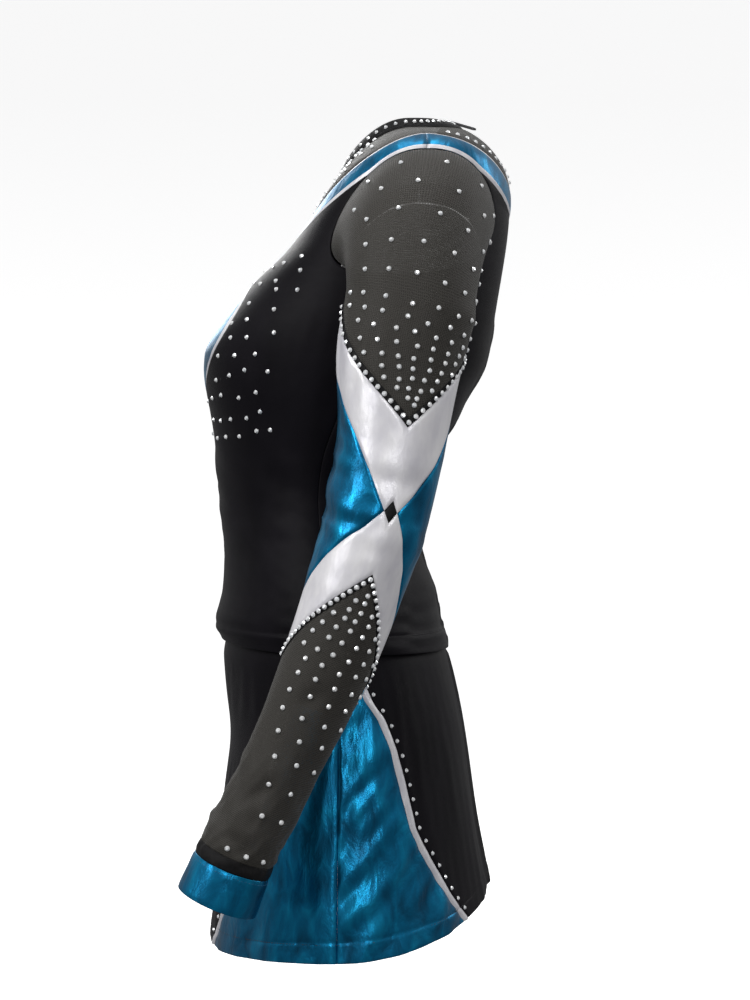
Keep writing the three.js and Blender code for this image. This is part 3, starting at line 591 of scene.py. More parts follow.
DRAG_FOLD, WAIST_FOLD, SOFT_FOLD = 1.7, 0.9, 0.5
PULL_FOLD, HANG_FOLD, FLUTE, SEAM_FOLD = 3.8, 3.0, 2.2, 0.8
CREASE_FOLD, FRONT_CREASE_FOLD, GATHER_FOLD, LIGHT_FOLD = 1.3, 1.5, 2.6, 1.0
# Depth, slant, station and its width, angle and its width, of the dents in the forearm.
PINCHES = ((3.2, 0.5, -212, 9, 12, 16), (2.4, 0.3, -135, 7, 0, 14))


def torso_folds(angle, v):
    """Drag lines that run from the bust to the waist, creases at the waist, and calm at both ends."""
    across = np.abs(angle) * RAD * TORSO_RADIUS
    side = np.sign(angle)
    slant = v + 0.5 * across
    drag = DRAG_FOLD * ripple(slant / 26, across / 120, 3.1 + side) * bell(v, 10, 75)
    waist = WAIST_FOLD * ripple(v / 13, across / 55, 7.7 + 2 * side) * bell(v, -20, 40)
    soft = SOFT_FOLD * ripple(across / 60, v / 70, 1.3)
    below_collar = smooth((COLLAR_BASE - v) / 60)
    above_hem = mix(0.35, 1, smooth((v - HEM) / 25))
    return (drag + waist + soft) * below_collar * above_hem


def skirt_folds(angle, depth):
    """Slanting pulls behind each side seam, long hanging folds ahead of it, soft flutes in the black."""
    across = (np.abs(angle) - 90) * RAD * S_WIDTH(depth)
    side = np.sign(angle)
    low = smooth((depth - 70) / 60)
    behind = smooth(across / 12 + 0.2)
    pull_place = across * 0.57 + depth * 0.82
    pull_along = across * 0.82 - depth * 0.57
    pulls = PULL_FOLD * ripple(pull_place / 17, pull_along / 75, 4.2 + side) * behind
    hang_place = across * 0.94 + depth * 0.25
    hangs = HANG_FOLD * ripple(hang_place / 22, (depth - across * 0.3) / 150, 9.4 + side) * (1 - behind)
    from_seam = np.abs(np.abs(angle) - 90) * np.where(across > 0, 1, 0.75)
    in_blue = smooth((back_spread(depth) + 6 - from_seam) / 12)
    flutes = FLUTE * ripple(angle / 15, depth / 260, 5.0) * smooth((depth - 90) / 200)
    seam = -SEAM_FOLD * bell(across, 0, 2.2) * mix(0.4, 1, in_blue)
    return low * ((pulls + hangs) * in_blue + seam) + flutes


def sleeve_folds(angle, q):
    """Creases inside the elbow, gathers above the cuff, dents in the forearm, and light ripples."""
    front = smooth(0.5 + 0.8 * np.sin(angle * RAD))
    turn = np.cos(angle * RAD)
    crease_depth = CREASE_FOLD + FRONT_CREASE_FOLD * front
    creases = crease_depth * ripple((q + 12 * turn) / 13, angle / 75, 2.6) * bell(q, 15, 55)
    gathers = GATHER_FOLD * ripple((q - angle * 0.16) / 17, angle / 60, 8.8) * bell(q, -235, 55)
    light = LIGHT_FOLD * ripple(angle / 42, q / 60, 6.0)
    dents = sum(depth * bell(q + slant * angle, station, width) * bell(angle, middle, reach)
                for depth, slant, station, width, middle, reach in PINCHES)
    calm = smooth((UPPER_SLEEVE + CAP - q) / 45) * smooth((q + FOREARM) / 20)
    return (creases + gathers + light - dents) * calm


# ------------------------------------------------------------------ surfaces with folds, and settled cloth

SLOPE_STEP = 0.4
NO_LENGTH = 1e-9


class Surface:
    """A cloth region: where a point lies, and which way is out, with its folds.

    Radius turns degrees into the cloth's own millimetres, rise does it for the second coordinate,
    and way is 1 or -1, so that normals point out of the garment.
    """

    def __init__(self, shape, folds, radius, rise, way, mirror=1):
        self.shape, self.folds, self.radius, self.rise = shape, folds, radius, rise
        self.way, self.mirror = way, mirror
        self.drape = None

    def normals(self, a, b, points):
        across = points(a + SLOPE_STEP, b) - points(a - SLOPE_STEP, b)
        along = points(a, b + SLOPE_STEP) - points(a, b - SLOPE_STEP)
        n = np.cross(across, along) * self.way
        return n / np.maximum(np.linalg.norm(n, axis=-1, keepdims=True), NO_LENGTH)

    def facing(self, a, b):
        """Unit normals of the drawn surface, which two panels share along a seam."""
        return self.normals(a, b, self.shape) * np.array([self.mirror, 1, 1])

    def at(self, a, b, lift=0.0):
        """Points in metres, folds included, lifted off the surface by so many millimetres."""
        a, b = np.broadcast_arrays(np.asarray(a, float), np.asarray(b, float))
        out = self.normals(a, b, self.shape)
        p = self.shape(a, b) + out * (self.folds(a, b) + lift)[..., None]
        if self.drape is not None:
            p = p + self.drape(a, b)
        return p * MM * np.array([self.mirror, 1, 1])

    def out(self, a, b):
        """Unit normals of the folded surface."""
        a, b = np.broadcast_arrays(np.asarray(a, float), np.asarray(b, float))
        return self.normals(a, b, lambda u, v: self.at(u, v)) * self.mirror

    def cloth(self, a, b):
        """The cloth's own coordinates, in millimetres."""
        return np.stack(np.broadcast_arrays(a * RAD * self.radius, b * self.rise), -1)


class Drape:
    """How far settled cloth has moved from its drawn surface, as a smooth function over the surface."""

    def __init__(self, a_values, b_values, moved):
        self.a, self.b, self.moved = a_values, b_values, moved

    @staticmethod
    def weights(x, count):
        """The cell that a place lies in, and how much each of the four values round it counts."""
        place = np.clip(x, 0, count - 1.001)
        i = np.floor(place).astype(int)
        t = place - i
        taps = [-t + 2 * t ** 2 - t ** 3, 2 - 5 * t ** 2 + 3 * t ** 3,
                t + 4 * t ** 2 - 3 * t ** 3, t ** 3 - t ** 2]
        return i, [tap / 2 for tap in taps]

    def __call__(self, a, b):
        turns, rows = self.moved.shape[:2]
        around = (a - self.a[0]) / (self.a[1] - self.a[0])
        i, across = self.weights(around % (turns - 1), turns)
        j, along = self.weights((b - self.b[0]) / (self.b[1] - self.b[0]), rows)
        total = 0
        for p in range(4):
            turn = (i + p - 1) % (turns - 1)
            for q in range(4):
                row = np.clip(j + q - 1, 0, rows - 1)
                total = total + (across[p] * along[q])[..., None] * self.moved[turn, row]
        return total


SETTLING_FRAMES = 22
CONTACT_GAP, FORM_FRICTION = 0.001, 12
CLOTH_MADE_OF = {"quality": 5, "mass": 0.12, "tension_stiffness": 12, "compression_stiffness": 12,
                 "shear_stiffness": 4, "bending_stiffness": 0.08}


def settle(surface, turns, b_values, held, inset, cut):
    """Lets cloth that is cut a little too large settle over a form so many millimetres inside it.

    Held is the pin weight by row, and cut is how much larger the cloth is along x, y and z.
    """
    a_values = np.linspace(-180, 180, turns + 1)
    a, b = np.meshgrid(a_values[:-1], b_values, indexing="ij")
    rest = surface.shape(a, b)
    inner = rest - surface.normals(a, b, surface.shape) * inset
    index = np.arange(a.size).reshape(a.shape)
    after = np.roll(index, -1, axis=0)
    faces = np.stack([index[:, :-1], after[:, :-1], after[:, 1:], index[:, 1:]], -1).reshape(-1, 4)
    faces = faces[:, ::surface.way].tolist()
    made = []
    for label, points in (("settling_cloth", rest), ("settling_form", inner)):
        mesh = bpy.data.meshes.new(label)
        mesh.from_pydata((points.reshape(-1, 3) * MM).tolist(), [], faces)
        made.append(bpy.data.objects.new(label, mesh))
        scene.collection.objects.link(made[-1])
    cloth, form = made
    form.modifiers.new("collision", "COLLISION")
    form.collision.thickness_outer = CONTACT_GAP
    form.collision.cloth_friction = FORM_FRICTION
    group = cloth.vertex_groups.new(name="held")
    for row, weight in enumerate(held):
        group.add(index[:, row].tolist(), float(weight), "REPLACE")
    modifier = cloth.modifiers.new("cloth", "CLOTH")
    settings = modifier.settings
    for key, value in CLOTH_MADE_OF.items():
        setattr(settings, key, value)
    settings.vertex_group_mass = "held"
    cloth.shape_key_add(name="Basis")
    larger = cloth.shape_key_add(name="cut")
    larger.data.foreach_set("co", (rest * np.array(cut) * MM).astype(np.float32).ravel())
    settings.rest_shape_key = larger
    modifier.collision_settings.distance_min = CONTACT_GAP
    modifier.point_cache.frame_start = 1
    modifier.point_cache.frame_end = SETTLING_FRAMES
    for frame_number in range(1, SETTLING_FRAMES + 1):
        scene.frame_set(frame_number)
    ready = cloth.evaluated_get(bpy.context.evaluated_depsgraph_get())
    points = np.empty(a.size * 3, np.float32)
    ready.data.vertices.foreach_get("co", points)
    moved = points.reshape(*a.shape, 3) / MM - rest
    scene.frame_set(1)
    for item in made:
        bpy.data.objects.remove(item)
    return Drape(a_values, b_values, np.concatenate([moved, moved[:1]], 0))


torso = Surface(torso_shape, torso_folds, TORSO_RADIUS, 1, 1)
skirt = Surface(skirt_shape, skirt_folds, SKIRT_RADIUS, -1, -1)
sleeves = {side: Surface(sleeve_shape, sleeve_folds, SLEEVE_RADIUS, 1, -1, side) for side in (1, -1)}
rows = np.linspace(HEM, 168, 46)
held = np.maximum(smooth((rows - 140) / 28), smooth((HEM + 14 - rows) / 12))
torso.drape = settle(torso, 116, rows, held, 1.5, (1.0, 1.0, 1.04))
rows = np.linspace(50, SKIRT_LENGTH, 40)
held = smooth((84 - rows) / 12)
skirt.drape = settle(skirt, 130, rows, held, 2.5, (1.025, 1.025, 1.004))
rows = np.linspace(-FOREARM, 176, 74)
held = np.maximum(smooth((rows - 140) / 36), smooth((CUFF_START + 14 - rows) / 14))
sleeves[1].drape = settle(sleeves[1], 40, rows, held, 2.5, (1.0, 1.01, 1.045))
sleeves[-1].drape = sleeves[1].drape

# ------------------------------------------------------------------ panels of cloth

STRETCH_WALL, NET_WALL, TAPE_WALL = 0.9, 0.45, 0.7
TRIM_WALL, CUFF_WALL, COLLAR_WALL, WAISTBAND_WALL = 1.1, 1.3, 1.3, 2.0
SMALLEST_CUT = 0.0101
LEAST_FILLED = 0.32
WELD_STEP = 2e-6
SEAM_GAP = 0.05
SEAM_DIP, SEAM_REACH = 0.8, 2.2
HEM_DEPTH, HEM_EXTRA, HEM_DENT = 16, 0.8, 0.5
LINED_LOOKS = ("blue_foil", "white_satin")


def even(low, high, step):
    """Evenly spaced values, ends included, no further apart than the step."""
    return np.linspace(low, high, max(int(math.ceil(abs(high - low) / step)), 1) + 1)


def bunched(count):
    """Shares from 0 to 1 that lie closer together near both ends, where seams roll in."""
    t = np.linspace(0, 1, count + 1)
    return mix(t, t * t * (3 - 2 * t), 0.75)


def lengths_along(points, axis):
    """For each point of a grid: how far it lies from the start of its line, and from its end."""
    steps = np.linalg.norm(np.diff(points, axis=axis), axis=-1)
    start = np.insert(np.cumsum(steps, axis=axis), 0, 0, axis=axis)
    end = np.take(start, [-1], axis=axis)
    return start / MM, (end - start) / MM


def welded(points):
    """One number for each different place, and the places."""
    keys = np.round(points / WELD_STEP).astype(np.int64)
    first, which = np.unique(keys, axis=0, return_index=True, return_inverse=True)[1:]
    return points[first], which.ravel()


def grid_faces(rows, columns, start, flip):
    index = np.arange(rows * columns).reshape(rows, columns) + start
    quads = np.stack([index[:-1, :-1], index[1:, :-1], index[1:, 1:], index[:-1, 1:]], -1).reshape(-1, 4)
    return quads[:, ::-1] if flip else quads


def open_edges(quads):
    """The edges that only one face has, in that face's direction."""
    pairs = np.concatenate([quads[:, [k, (k + 1) % 4]] for k in range(4)])
    pairs = pairs[pairs[:, 0] != pairs[:, 1]]
    known = {(a, b) for a, b in pairs.tolist()}
    return [(a, b) for a, b in pairs.tolist() if (b, a) not in known]


def fasten(piece, body):
    """Rides a piece on one body; a piece given two bodies across a joint is only baked where it stands."""
    if isinstance(body, str):
        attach(piece, body)
    else:
        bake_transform(piece)


class Panel:
    """A cut piece of cloth: grids of points on a surface, welded together and then given a wall."""

    def __init__(self, surface):
        self.surface = surface
        self.points, self.facings, self.uvs, self.quads = [], [], [], []
        self.lifts, self.walls, self.marks = [], [], []
        self.count = 0
        self.sizes = []

    def add(self, us, ts, place, side=1, seams=(1, 1, 1, 1), hem=None, puff=0.0, mark=None):
        """Adds a grid. Seams say how much each edge rolls in: first and last row, first and last column."""
        u, t = np.meshgrid(us, ts, indexing="ij")
        a, b = np.broadcast_arrays(*place(u, t))
        a = a * side
        p = self.surface.at(a, b)
        rows, columns = u.shape
        from_u, to_u = lengths_along(p, 0)
        from_t, to_t = lengths_along(p, 1)
        lift = puff * (1 - (2 * t - 1) ** 2) * np.ones_like(a)
        wall = np.zeros_like(lift)
        for strength, distance in zip(seams, (from_u, to_u, from_t, to_t)):
            strong = strength(u) if callable(strength) else strength
            lift = lift - SEAM_DIP * strong * np.exp(-((distance / SEAM_REACH) ** 2))
        if hem is not None:
            distance = from_u if hem == "first" else to_u
            folded = smooth((HEM_DEPTH + 1 - distance) / 2)
            wall = wall + HEM_EXTRA * folded * np.sqrt(np.clip(distance / 1.5, 0.1, 1))
            lift = lift - HEM_DENT * bell(distance, HEM_DEPTH, 1.3)
        i, j = rows // 2, columns // 2
        across = np.cross(p[i, j] - p[i - 1, j - 1], p[i - 1, j] - p[i, j - 1])
        flip = float(across @ self.surface.facing(a[i, j], b[i, j])) < 0
        self.points.append(p.reshape(-1, 3))
        self.facings.append(self.surface.facing(a, b).reshape(-1, 3))
        self.uvs.append(self.surface.cloth(a, b).reshape(-1, 2))
        self.quads.append(grid_faces(rows, columns, self.count, flip))
        self.lifts.append(lift.ravel())
        self.walls.append(wall.ravel())
        middle = (t[:-1, :-1] + t[1:, 1:]) / 2
        self.marks.append(np.zeros(middle.size, int) if mark is None else mark(middle).ravel().astype(int))
        self.count += rows * columns
        self.sizes.append(((from_t + to_t).max() * MM, (from_u + to_u).max() * MM))
        return self

    def build(self, name, looks, body, wall, replaces, held="stretched"):
        points = np.concatenate(self.points)
        uvs = np.concatenate(self.uvs)
        quads = np.concatenate(self.quads)
        marks = np.concatenate(self.marks)
        places, which = welded(points)
        joined = which[quads]
        keep = np.array([len(set(face)) > 2 for face in joined.tolist()])
        joined, corners, marks = joined[keep], quads[keep], marks[keep]
        normals = np.zeros((len(places), 3))
        normals[which] = np.concatenate(self.facings)
        lift, extra = np.zeros(len(places)), np.zeros(len(places))
        lift[which] = np.concatenate(self.lifts)
        extra[which] = np.concatenate(self.walls)
        middle = places + normals * (lift * MM)[:, None]
        half = ((wall + extra) / 2 * MM)[:, None]
        count = len(places)
        verts = np.concatenate([middle + normals * half, middle - normals * half])
        lined = looks[0] in LINED_LOOKS
        faces, loops, slots, flat = [], [], [], []
        for face, corner, mark in zip(joined.tolist(), corners.tolist(), marks.tolist()):
            ring = [k for k in range(4) if face[k] != face[k - 1]]
            outer = [face[k] for k in ring]
            faces.append(outer)
            loops += [corner[k] for k in ring]
            faces.append([k + count for k in reversed(outer)])
            loops += [corner[k] for k in reversed(ring)]
            slots += [mark, len(looks) if lined else mark]
            flat += [False, False]
        source = dict(zip(which.tolist(), range(len(which))))
        for a, b in open_edges(joined):
            faces.append([b, a, a + count, b + count])
            loops += [source[b], source[a], source[a], source[b]]
            slots.append(0)
            flat.append(True)
        mesh = bpy.data.meshes.new(name)
        mesh.from_pydata(verts.tolist(), [], faces)
        for look in looks + ["lining"] * lined:
            mesh.materials.append(LOOKS[look])
        layer = mesh.uv_layers.new(name="cloth")
        layer.data.foreach_set("uv", uvs[np.array(loops)].astype(np.float32).ravel())
        mesh.polygons.foreach_set("material_index", slots)
        mesh.polygons.foreach_set("use_smooth", [not f for f in flat])
        mesh.validate()
        mesh.update()
        piece = bpy.data.objects.new(name, mesh)
        scene.collection.objects.link(piece)
        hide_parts(*replaces)
        corner = places[joined]
        across = np.cross(corner[:, 2] - corner[:, 0], corner[:, 3] - corner[:, 1])
        area = float(np.linalg.norm(across, axis=1).sum() / 2)
        width = max(max(size[0] for size in self.sizes) * len(self.sizes), SMALLEST_CUT)
        length = min(max(size[1] for size in self.sizes), area / width / LEAST_FILLED)
        length = max(length, area / width, SMALLEST_CUT)
        fasten(piece, body)


# ------------------------------------------------------------------ the top's panels

ZIP_SLOT = 3.4
INSET_LOW, INSET_HIGH, INSET_SPREAD = 95, 199, 30
SHOULDER_POINT = UNDERARM + ARMHOLE_HEIGHT
STRIPE_START = 228
stripe_low = straight([0, 90, 180], [STRIPE_START, SHOULDER_POINT, NAPE_START])
stripe_high = straight([0, 90, 180], [256, SHOULDER_POINT + 29, 293])
SIDES = (("left", 1), ("right", -1))


def opening_angle(v):
    return 180 - np.arcsin((ZIP_SLOT / WIDTH(v)) ** (1 / ROUNDNESS(v))) / RAD


def seam_angle(v):
    return SEAM_GAP / 2 / (WIDTH(v) * RAD)


def armhole_reach(v, most):
    share = np.clip(np.abs(v - ARMHOLE_MIDDLE) / (ARMHOLE_HEIGHT / 2 + ARMHOLE_EASE), 0, 1)
    return most * np.sqrt(1 - share ** 2)


def armhole_top(angle):
    most = np.where(angle < 90, ARMHOLE_FRONT, ARMHOLE_BACK)
    share = np.clip(np.abs(angle - 90) / most, 0, 1)
    rise = (ARMHOLE_HEIGHT / 2 + ARMHOLE_EASE) * np.sqrt(1 - share ** 2)
    return np.where(share < 1, ARMHOLE_MIDDLE + rise, 0)


def stripe_bottom(angle):
    return np.maximum(stripe_low(angle) + SEAM_GAP, armhole_top(angle))


def front_stripe_angle(v):
    return 90 * (v - STRIPE_START) / (SHOULDER_POINT - STRIPE_START)


def back_stripe_angle(v):
    return mix(180, 90, (v - NAPE_START) / (SHOULDER_POINT - NAPE_START))


def inset_spread(v):
    share = np.clip((v - INSET_LOW) / (INSET_HIGH - INSET_LOW), 0, 1)
    return INSET_SPREAD * np.maximum(np.sin(math.pi * share ** 1.3), 0) ** 0.5


HEM_ROWS = HEM + np.array([0, 0.4, 1, 2, 4, 7, 11, 14, 15, 16, 17, 18, 20])
ROW_STEP = 3.6
FRONT_TOP, BACK_TOP = 274.4, 280.1
inset_rows = INSET_LOW + (INSET_HIGH - INSET_LOW) * bunched(34)
front_rows = np.concatenate([HEM_ROWS, even(HEM + 24, INSET_LOW, ROW_STEP),
                             inset_rows[1:], even(INSET_HIGH, FRONT_TOP, 2.6)[1:]])
back_rows = np.concatenate([HEM_ROWS, even(HEM + 24, BACK_TOP, 3.4)])


def front_place(v, t):
    hole = np.where(v > INSET_HIGH, np.maximum(front_stripe_angle(v + SEAM_GAP), 0), inset_spread(v))
    outer = 90 - seam_angle(v) - armhole_reach(v, ARMHOLE_FRONT)
    return mix(np.minimum(hole, outer), outer, t), v


def back_place(v, t):
    inner = 90 + seam_angle(v) + armhole_reach(v, ARMHOLE_BACK)
    outer = np.minimum(back_stripe_angle(v + SEAM_GAP), 180 - seam_angle(v))
    return mix(inner, np.maximum(outer, inner), t), v


def beside_hole(v):
    """Where the bodice's inner edge is a seam: along the inset, and along the stripe."""
    return np.where(((v > INSET_LOW + 3) & (v < INSET_HIGH - 3)) | (v > 230), 1.0, 0.0)


front = Panel(torso)
for _, side in SIDES:
    front.add(front_rows, bunched(44), front_place, side, (0, 0, beside_hole, 0.5), hem="first")
front.build("bodice_front_cloth", ["black_stretch"], "top", STRETCH_WALL, ["bodice_front"])


def inset_place(v, t):
    return t * np.maximum(inset_spread(v) - 2 * seam_angle(v), 0.02), v


INSET_EDGE = 0.93
inset_ts = np.append(np.linspace(0, INSET_EDGE, 14), [0.95, 0.97, 0.985, 1])
inset = Panel(torso)
for _, side in SIDES:
    inset.add(inset_rows, inset_ts, inset_place, side, (0, 0, 0, 1), mark=lambda t: t > INSET_EDGE)
inset.build("chest_inset_cloth", ["blue_foil", "white_satin"], "top", STRETCH_WALL, ["chest_inset"])

for name, side in SIDES:
    Panel(torso).add(back_rows, bunched(40), back_place, side, (0, 0, 0.5, 0.6), hem="first").build(
        f"bodice_back_{name}_cloth", ["black_stretch"], "top", STRETCH_WALL, [f"bodice_back_{name}"])

STRIPE_EDGE = 0.15
STRIPE_TS = np.array([0, 0.03, 0.07, 0.11, STRIPE_EDGE, 0.2, 0.3, 0.4, 0.5, 0.6, 0.7, 0.8,
                      1 - STRIPE_EDGE, 0.89, 0.93, 0.97, 1])


def white_edges(t):
    return (t < STRIPE_EDGE) | (t > 1 - STRIPE_EDGE)


def band_place(low, high):
    """A band round the neck from one line up to another, which stops at the zip's opening."""
    def place(angle, t):
        v = mix(low(angle), high(angle), t)
        return np.where(angle > 90, np.minimum(angle, opening_angle(v)), angle), v
    return place


stripe_place = band_place(stripe_bottom, stripe_high)
yoke_place = band_place(lambda angle: stripe_high(angle) + SEAM_GAP, lambda angle: COLLAR_BASE)
collar_place = band_place(lambda angle: COLLAR_BASE + SEAM_GAP, lambda angle: COLLAR_TOP)


def both_sides(us, ts, place, **options):
    made = Panel(torso)
    for _, side in SIDES:
        made.add(us, ts, place, side, **options)
    return made


ahead = even(0, 89.97, 1.8)
behind = even(90.03, 180, 1.8)
both_sides(ahead, STRIPE_TS, stripe_place, seams=(0, 0.4, 1, 1), mark=white_edges).build(
    "stripe_front_cloth", ["blue_foil", "white_satin"], "top", STRETCH_WALL, ["stripe_front"])
both_sides(ahead, bunched(24), yoke_place, seams=(0, 0.4, 1, 1)).build(
    "yoke_front_cloth", ["black_mesh"], "top", NET_WALL, ["yoke_front"])
for name, side in SIDES:
    Panel(torso).add(behind, STRIPE_TS, stripe_place, side, (0.4, 0, 1, 1), mark=white_edges).build(
        f"stripe_back_{name}_cloth", ["blue_foil", "white_satin"], "top", STRETCH_WALL,
        [f"stripe_back_{name}"])
    Panel(torso).add(behind, bunched(24), yoke_place, side, (0.4, 0, 1, 1)).build(
        f"yoke_back_{name}_cloth", ["black_mesh"], "top", NET_WALL, [f"yoke_back_{name}"])
both_sides(even(0, 180, 2.5), bunched(8), collar_place, seams=(0, 0, 1, 0.4), puff=0.5).build(
    "collar_cloth", ["trim_black"], "top", COLLAR_WALL, ["collar_band"])

# ------------------------------------------------------------------ the skirt's panels

SPREAD_DEPTHS = [35, 66, 103, 118, 145, 178, 218, 253, 288, 325]
BACK_SPREADS = [4, 4.5, 12.5, 18, 23, 26.5, 30, 37, 44, 53]
FRONT_TO_BACK = 68 / 53
PIPING_WIDTH, PIPING_PUFF = 10, 0.9
spread_curve = straight(SPREAD_DEPTHS, BACK_SPREADS)


def back_spread(depth):
    """Degrees from the side seam to the back piping."""
    return spread_curve(depth)


def degrees(length, depth):
    return length / (S_WIDTH(depth) * RAD)


HEM_DISTANCES = np.array([20, 18, 17, 16, 15, 14, 11, 7, 4, 2, 1, 0.4, 0])
skirt_rows = np.concatenate([even(WAISTBAND_HEIGHT + SEAM_GAP, SKIRT_LENGTH - 24, 3.4),
                             SKIRT_LENGTH - HEM_DISTANCES])


def front_edge(depth):
    return 90 - back_spread(depth) * FRONT_TO_BACK


def back_edge(depth):
    return 90 + back_spread(depth)


def beside(line, gap):
    """A line so many millimetres behind another line, or ahead of it when the gap is negative."""
    return lambda depth: line(depth) + degrees(gap, depth)


def always(angle):
    return lambda depth: angle + 0 * depth


def skirt_panel(node, look, count, low, high, sides, seams, puff=0.0):
    made = Panel(skirt)
    for side in sides:
        made.add(skirt_rows, bunched(count), lambda depth, t: (mix(low(depth), high(depth), t), depth),
                 side, seams, hem="last", puff=puff)
    made.build(f"{node}_cloth", [look], "skirt", STRETCH_WALL, [node], held="hung")


waist = Panel(skirt)
for _, side in SIDES:
    waist.add(even(0, 180, 2.5), bunched(12), lambda a, t: (a, t * WAISTBAND_HEIGHT), side, (0, 0, 0.5, 1))
waist.build("waistband_cloth", ["black_stretch"], "skirt", WAISTBAND_WALL, ["waistband"])
skirt_panel("skirt_front", "black_stretch", 44, always(0), beside(front_edge, -PIPING_WIDTH),
            (1, -1), (0.5, 0, 0, 1))
skirt_panel("skirt_back", "black_stretch", 44, beside(back_edge, PIPING_WIDTH), always(180),
            (1, -1), (0.5, 0, 1, 0))
# Node, finish, columns, its two edges, how its edges roll in, and how far it stands up in the middle.
SIDE_PANELS = (
    ("front_piping", "white_satin", 8, beside(front_edge, SEAM_GAP - PIPING_WIDTH), front_edge,
     (0.5, 0, 0.8, 0.8), PIPING_PUFF),
    ("side_front", "blue_foil", 24, beside(front_edge, SEAM_GAP), beside(always(90), -SEAM_GAP / 2),
     (0.5, 0, 0.8, 0.9), 0.0),
    ("side_back", "blue_foil", 30, beside(always(90), SEAM_GAP / 2), beside(back_edge, -SEAM_GAP),
     (0.5, 0, 0.9, 0.8), 0.0),
    ("back_piping", "white_satin", 8, back_edge, beside(back_edge, PIPING_WIDTH - SEAM_GAP),
     (0.5, 0, 0.8, 0.8), PIPING_PUFF),
)
for name, side in SIDES:
    for node, look, count, low, high, seams, puff in SIDE_PANELS:
        skirt_panel(f"{name}_{node}", look, count, low, high, (side,), seams, puff)

# ------------------------------------------------------------------ the sleeves' panels

PATTERN_TURN = 15
CROSSING = 19
LOZENGE_SPREAD, LOZENGE_HALF = 7.5, 9
FOREARM_POINT = -37
BACK_CORNER, FRONT_CORNER = -110, 108
TRIM_WIDTH, WRIST_TRIM = 7, 10
WRIST_START = CUFF_START + WRIST_TRIM


def chevron_line(middle, back, front, inside):
    return straight([-180, BACK_CORNER, 0, FRONT_CORNER, 180], [inside, back, middle, front, inside])


def crossing_line(middle, back, front, inside):
    return straight([-180, BACK_CORNER, -LOZENGE_SPREAD, 0, LOZENGE_SPREAD, FRONT_CORNER, 180],
                    [inside, back, CROSSING, CROSSING + middle, CROSSING, front, inside])


mesh_edge = chevron_line(92, 175, 176, 176)
white_bottom = crossing_line(LOZENGE_HALF, 126, 132, 128)
lower_white_top = crossing_line(-LOZENGE_HALF, -110, -66, -100)
lower_mesh_edge = chevron_line(FOREARM_POINT, -150, -120, -150)


def white_top(beta):
    return mesh_edge(beta) - TRIM_WIDTH


def lower_white_bottom(beta):
    return lower_mesh_edge(beta) + TRIM_WIDTH


def level(q):
    return lambda beta: q + 0 * beta


def sleeve_place(top, bottom):
    """Places between two lines, whose angles are measured from the pattern's own middle."""
    return lambda beta, t: (beta - PATTERN_TURN,
                            mix(top(beta) - SEAM_GAP / 2, bottom(beta) + SEAM_GAP / 2, t))


corners = [-180, BACK_CORNER, -LOZENGE_SPREAD, 0, LOZENGE_SPREAD, FRONT_CORNER, 180]
loop = np.unique(np.concatenate([even(a, b, 3.6) for a, b in zip(corners, corners[1:])]))
gap_start = LOZENGE_SPREAD + 0.4
round_back = np.unique(np.concatenate([
    [gap_start, 360 - gap_start], loop[loop > gap_start], loop[(loop > -180) & (loop < -gap_start)] + 360]))


def wrapped(line):
    return lambda beta: line(np.where(beta > 180, beta - 360, beta))


def lozenge_place(beta, t):
    reach = (LOZENGE_HALF - 0.6) * (1 - np.abs(beta) / (LOZENGE_SPREAD - 0.5))
    return beta - PATTERN_TURN, CROSSING + mix(reach, -reach, t)


# Where the cloth starts to follow the lower body and where it has wholly done so, on the left side.
SHOULDER_START, SHOULDER_END = (0.138, 0.04, 0.275), (0.185, 0.035, 0.19)
ELBOW_START, ELBOW_END = (0.21, 0.002, 0.055), (0.21, -0.006, -0.046)


def blend_between(side, above, below, start, end):
    return above, below, (start[0] * side, *start[1:]), (end[0] * side, *end[1:])


def sleeve_bodies(name, side):
    """What a sleeve's pieces ride on: two bodies, and two blends across joints."""
    upper, lower = f"{name}_upper_sleeve", f"{name}_forearm"
    return {"upper": upper, "lower": lower,
            "shoulder": blend_between(side, "top", upper, SHOULDER_START, SHOULDER_END),
            "elbow": blend_between(side, upper, lower, ELBOW_START, ELBOW_END)}


BODIES = {side: sleeve_bodies(name, side) for name, side in SIDES}
lozenge_angles = even(-LOZENGE_SPREAD + 0.5, LOZENGE_SPREAD - 0.5, 1.6)
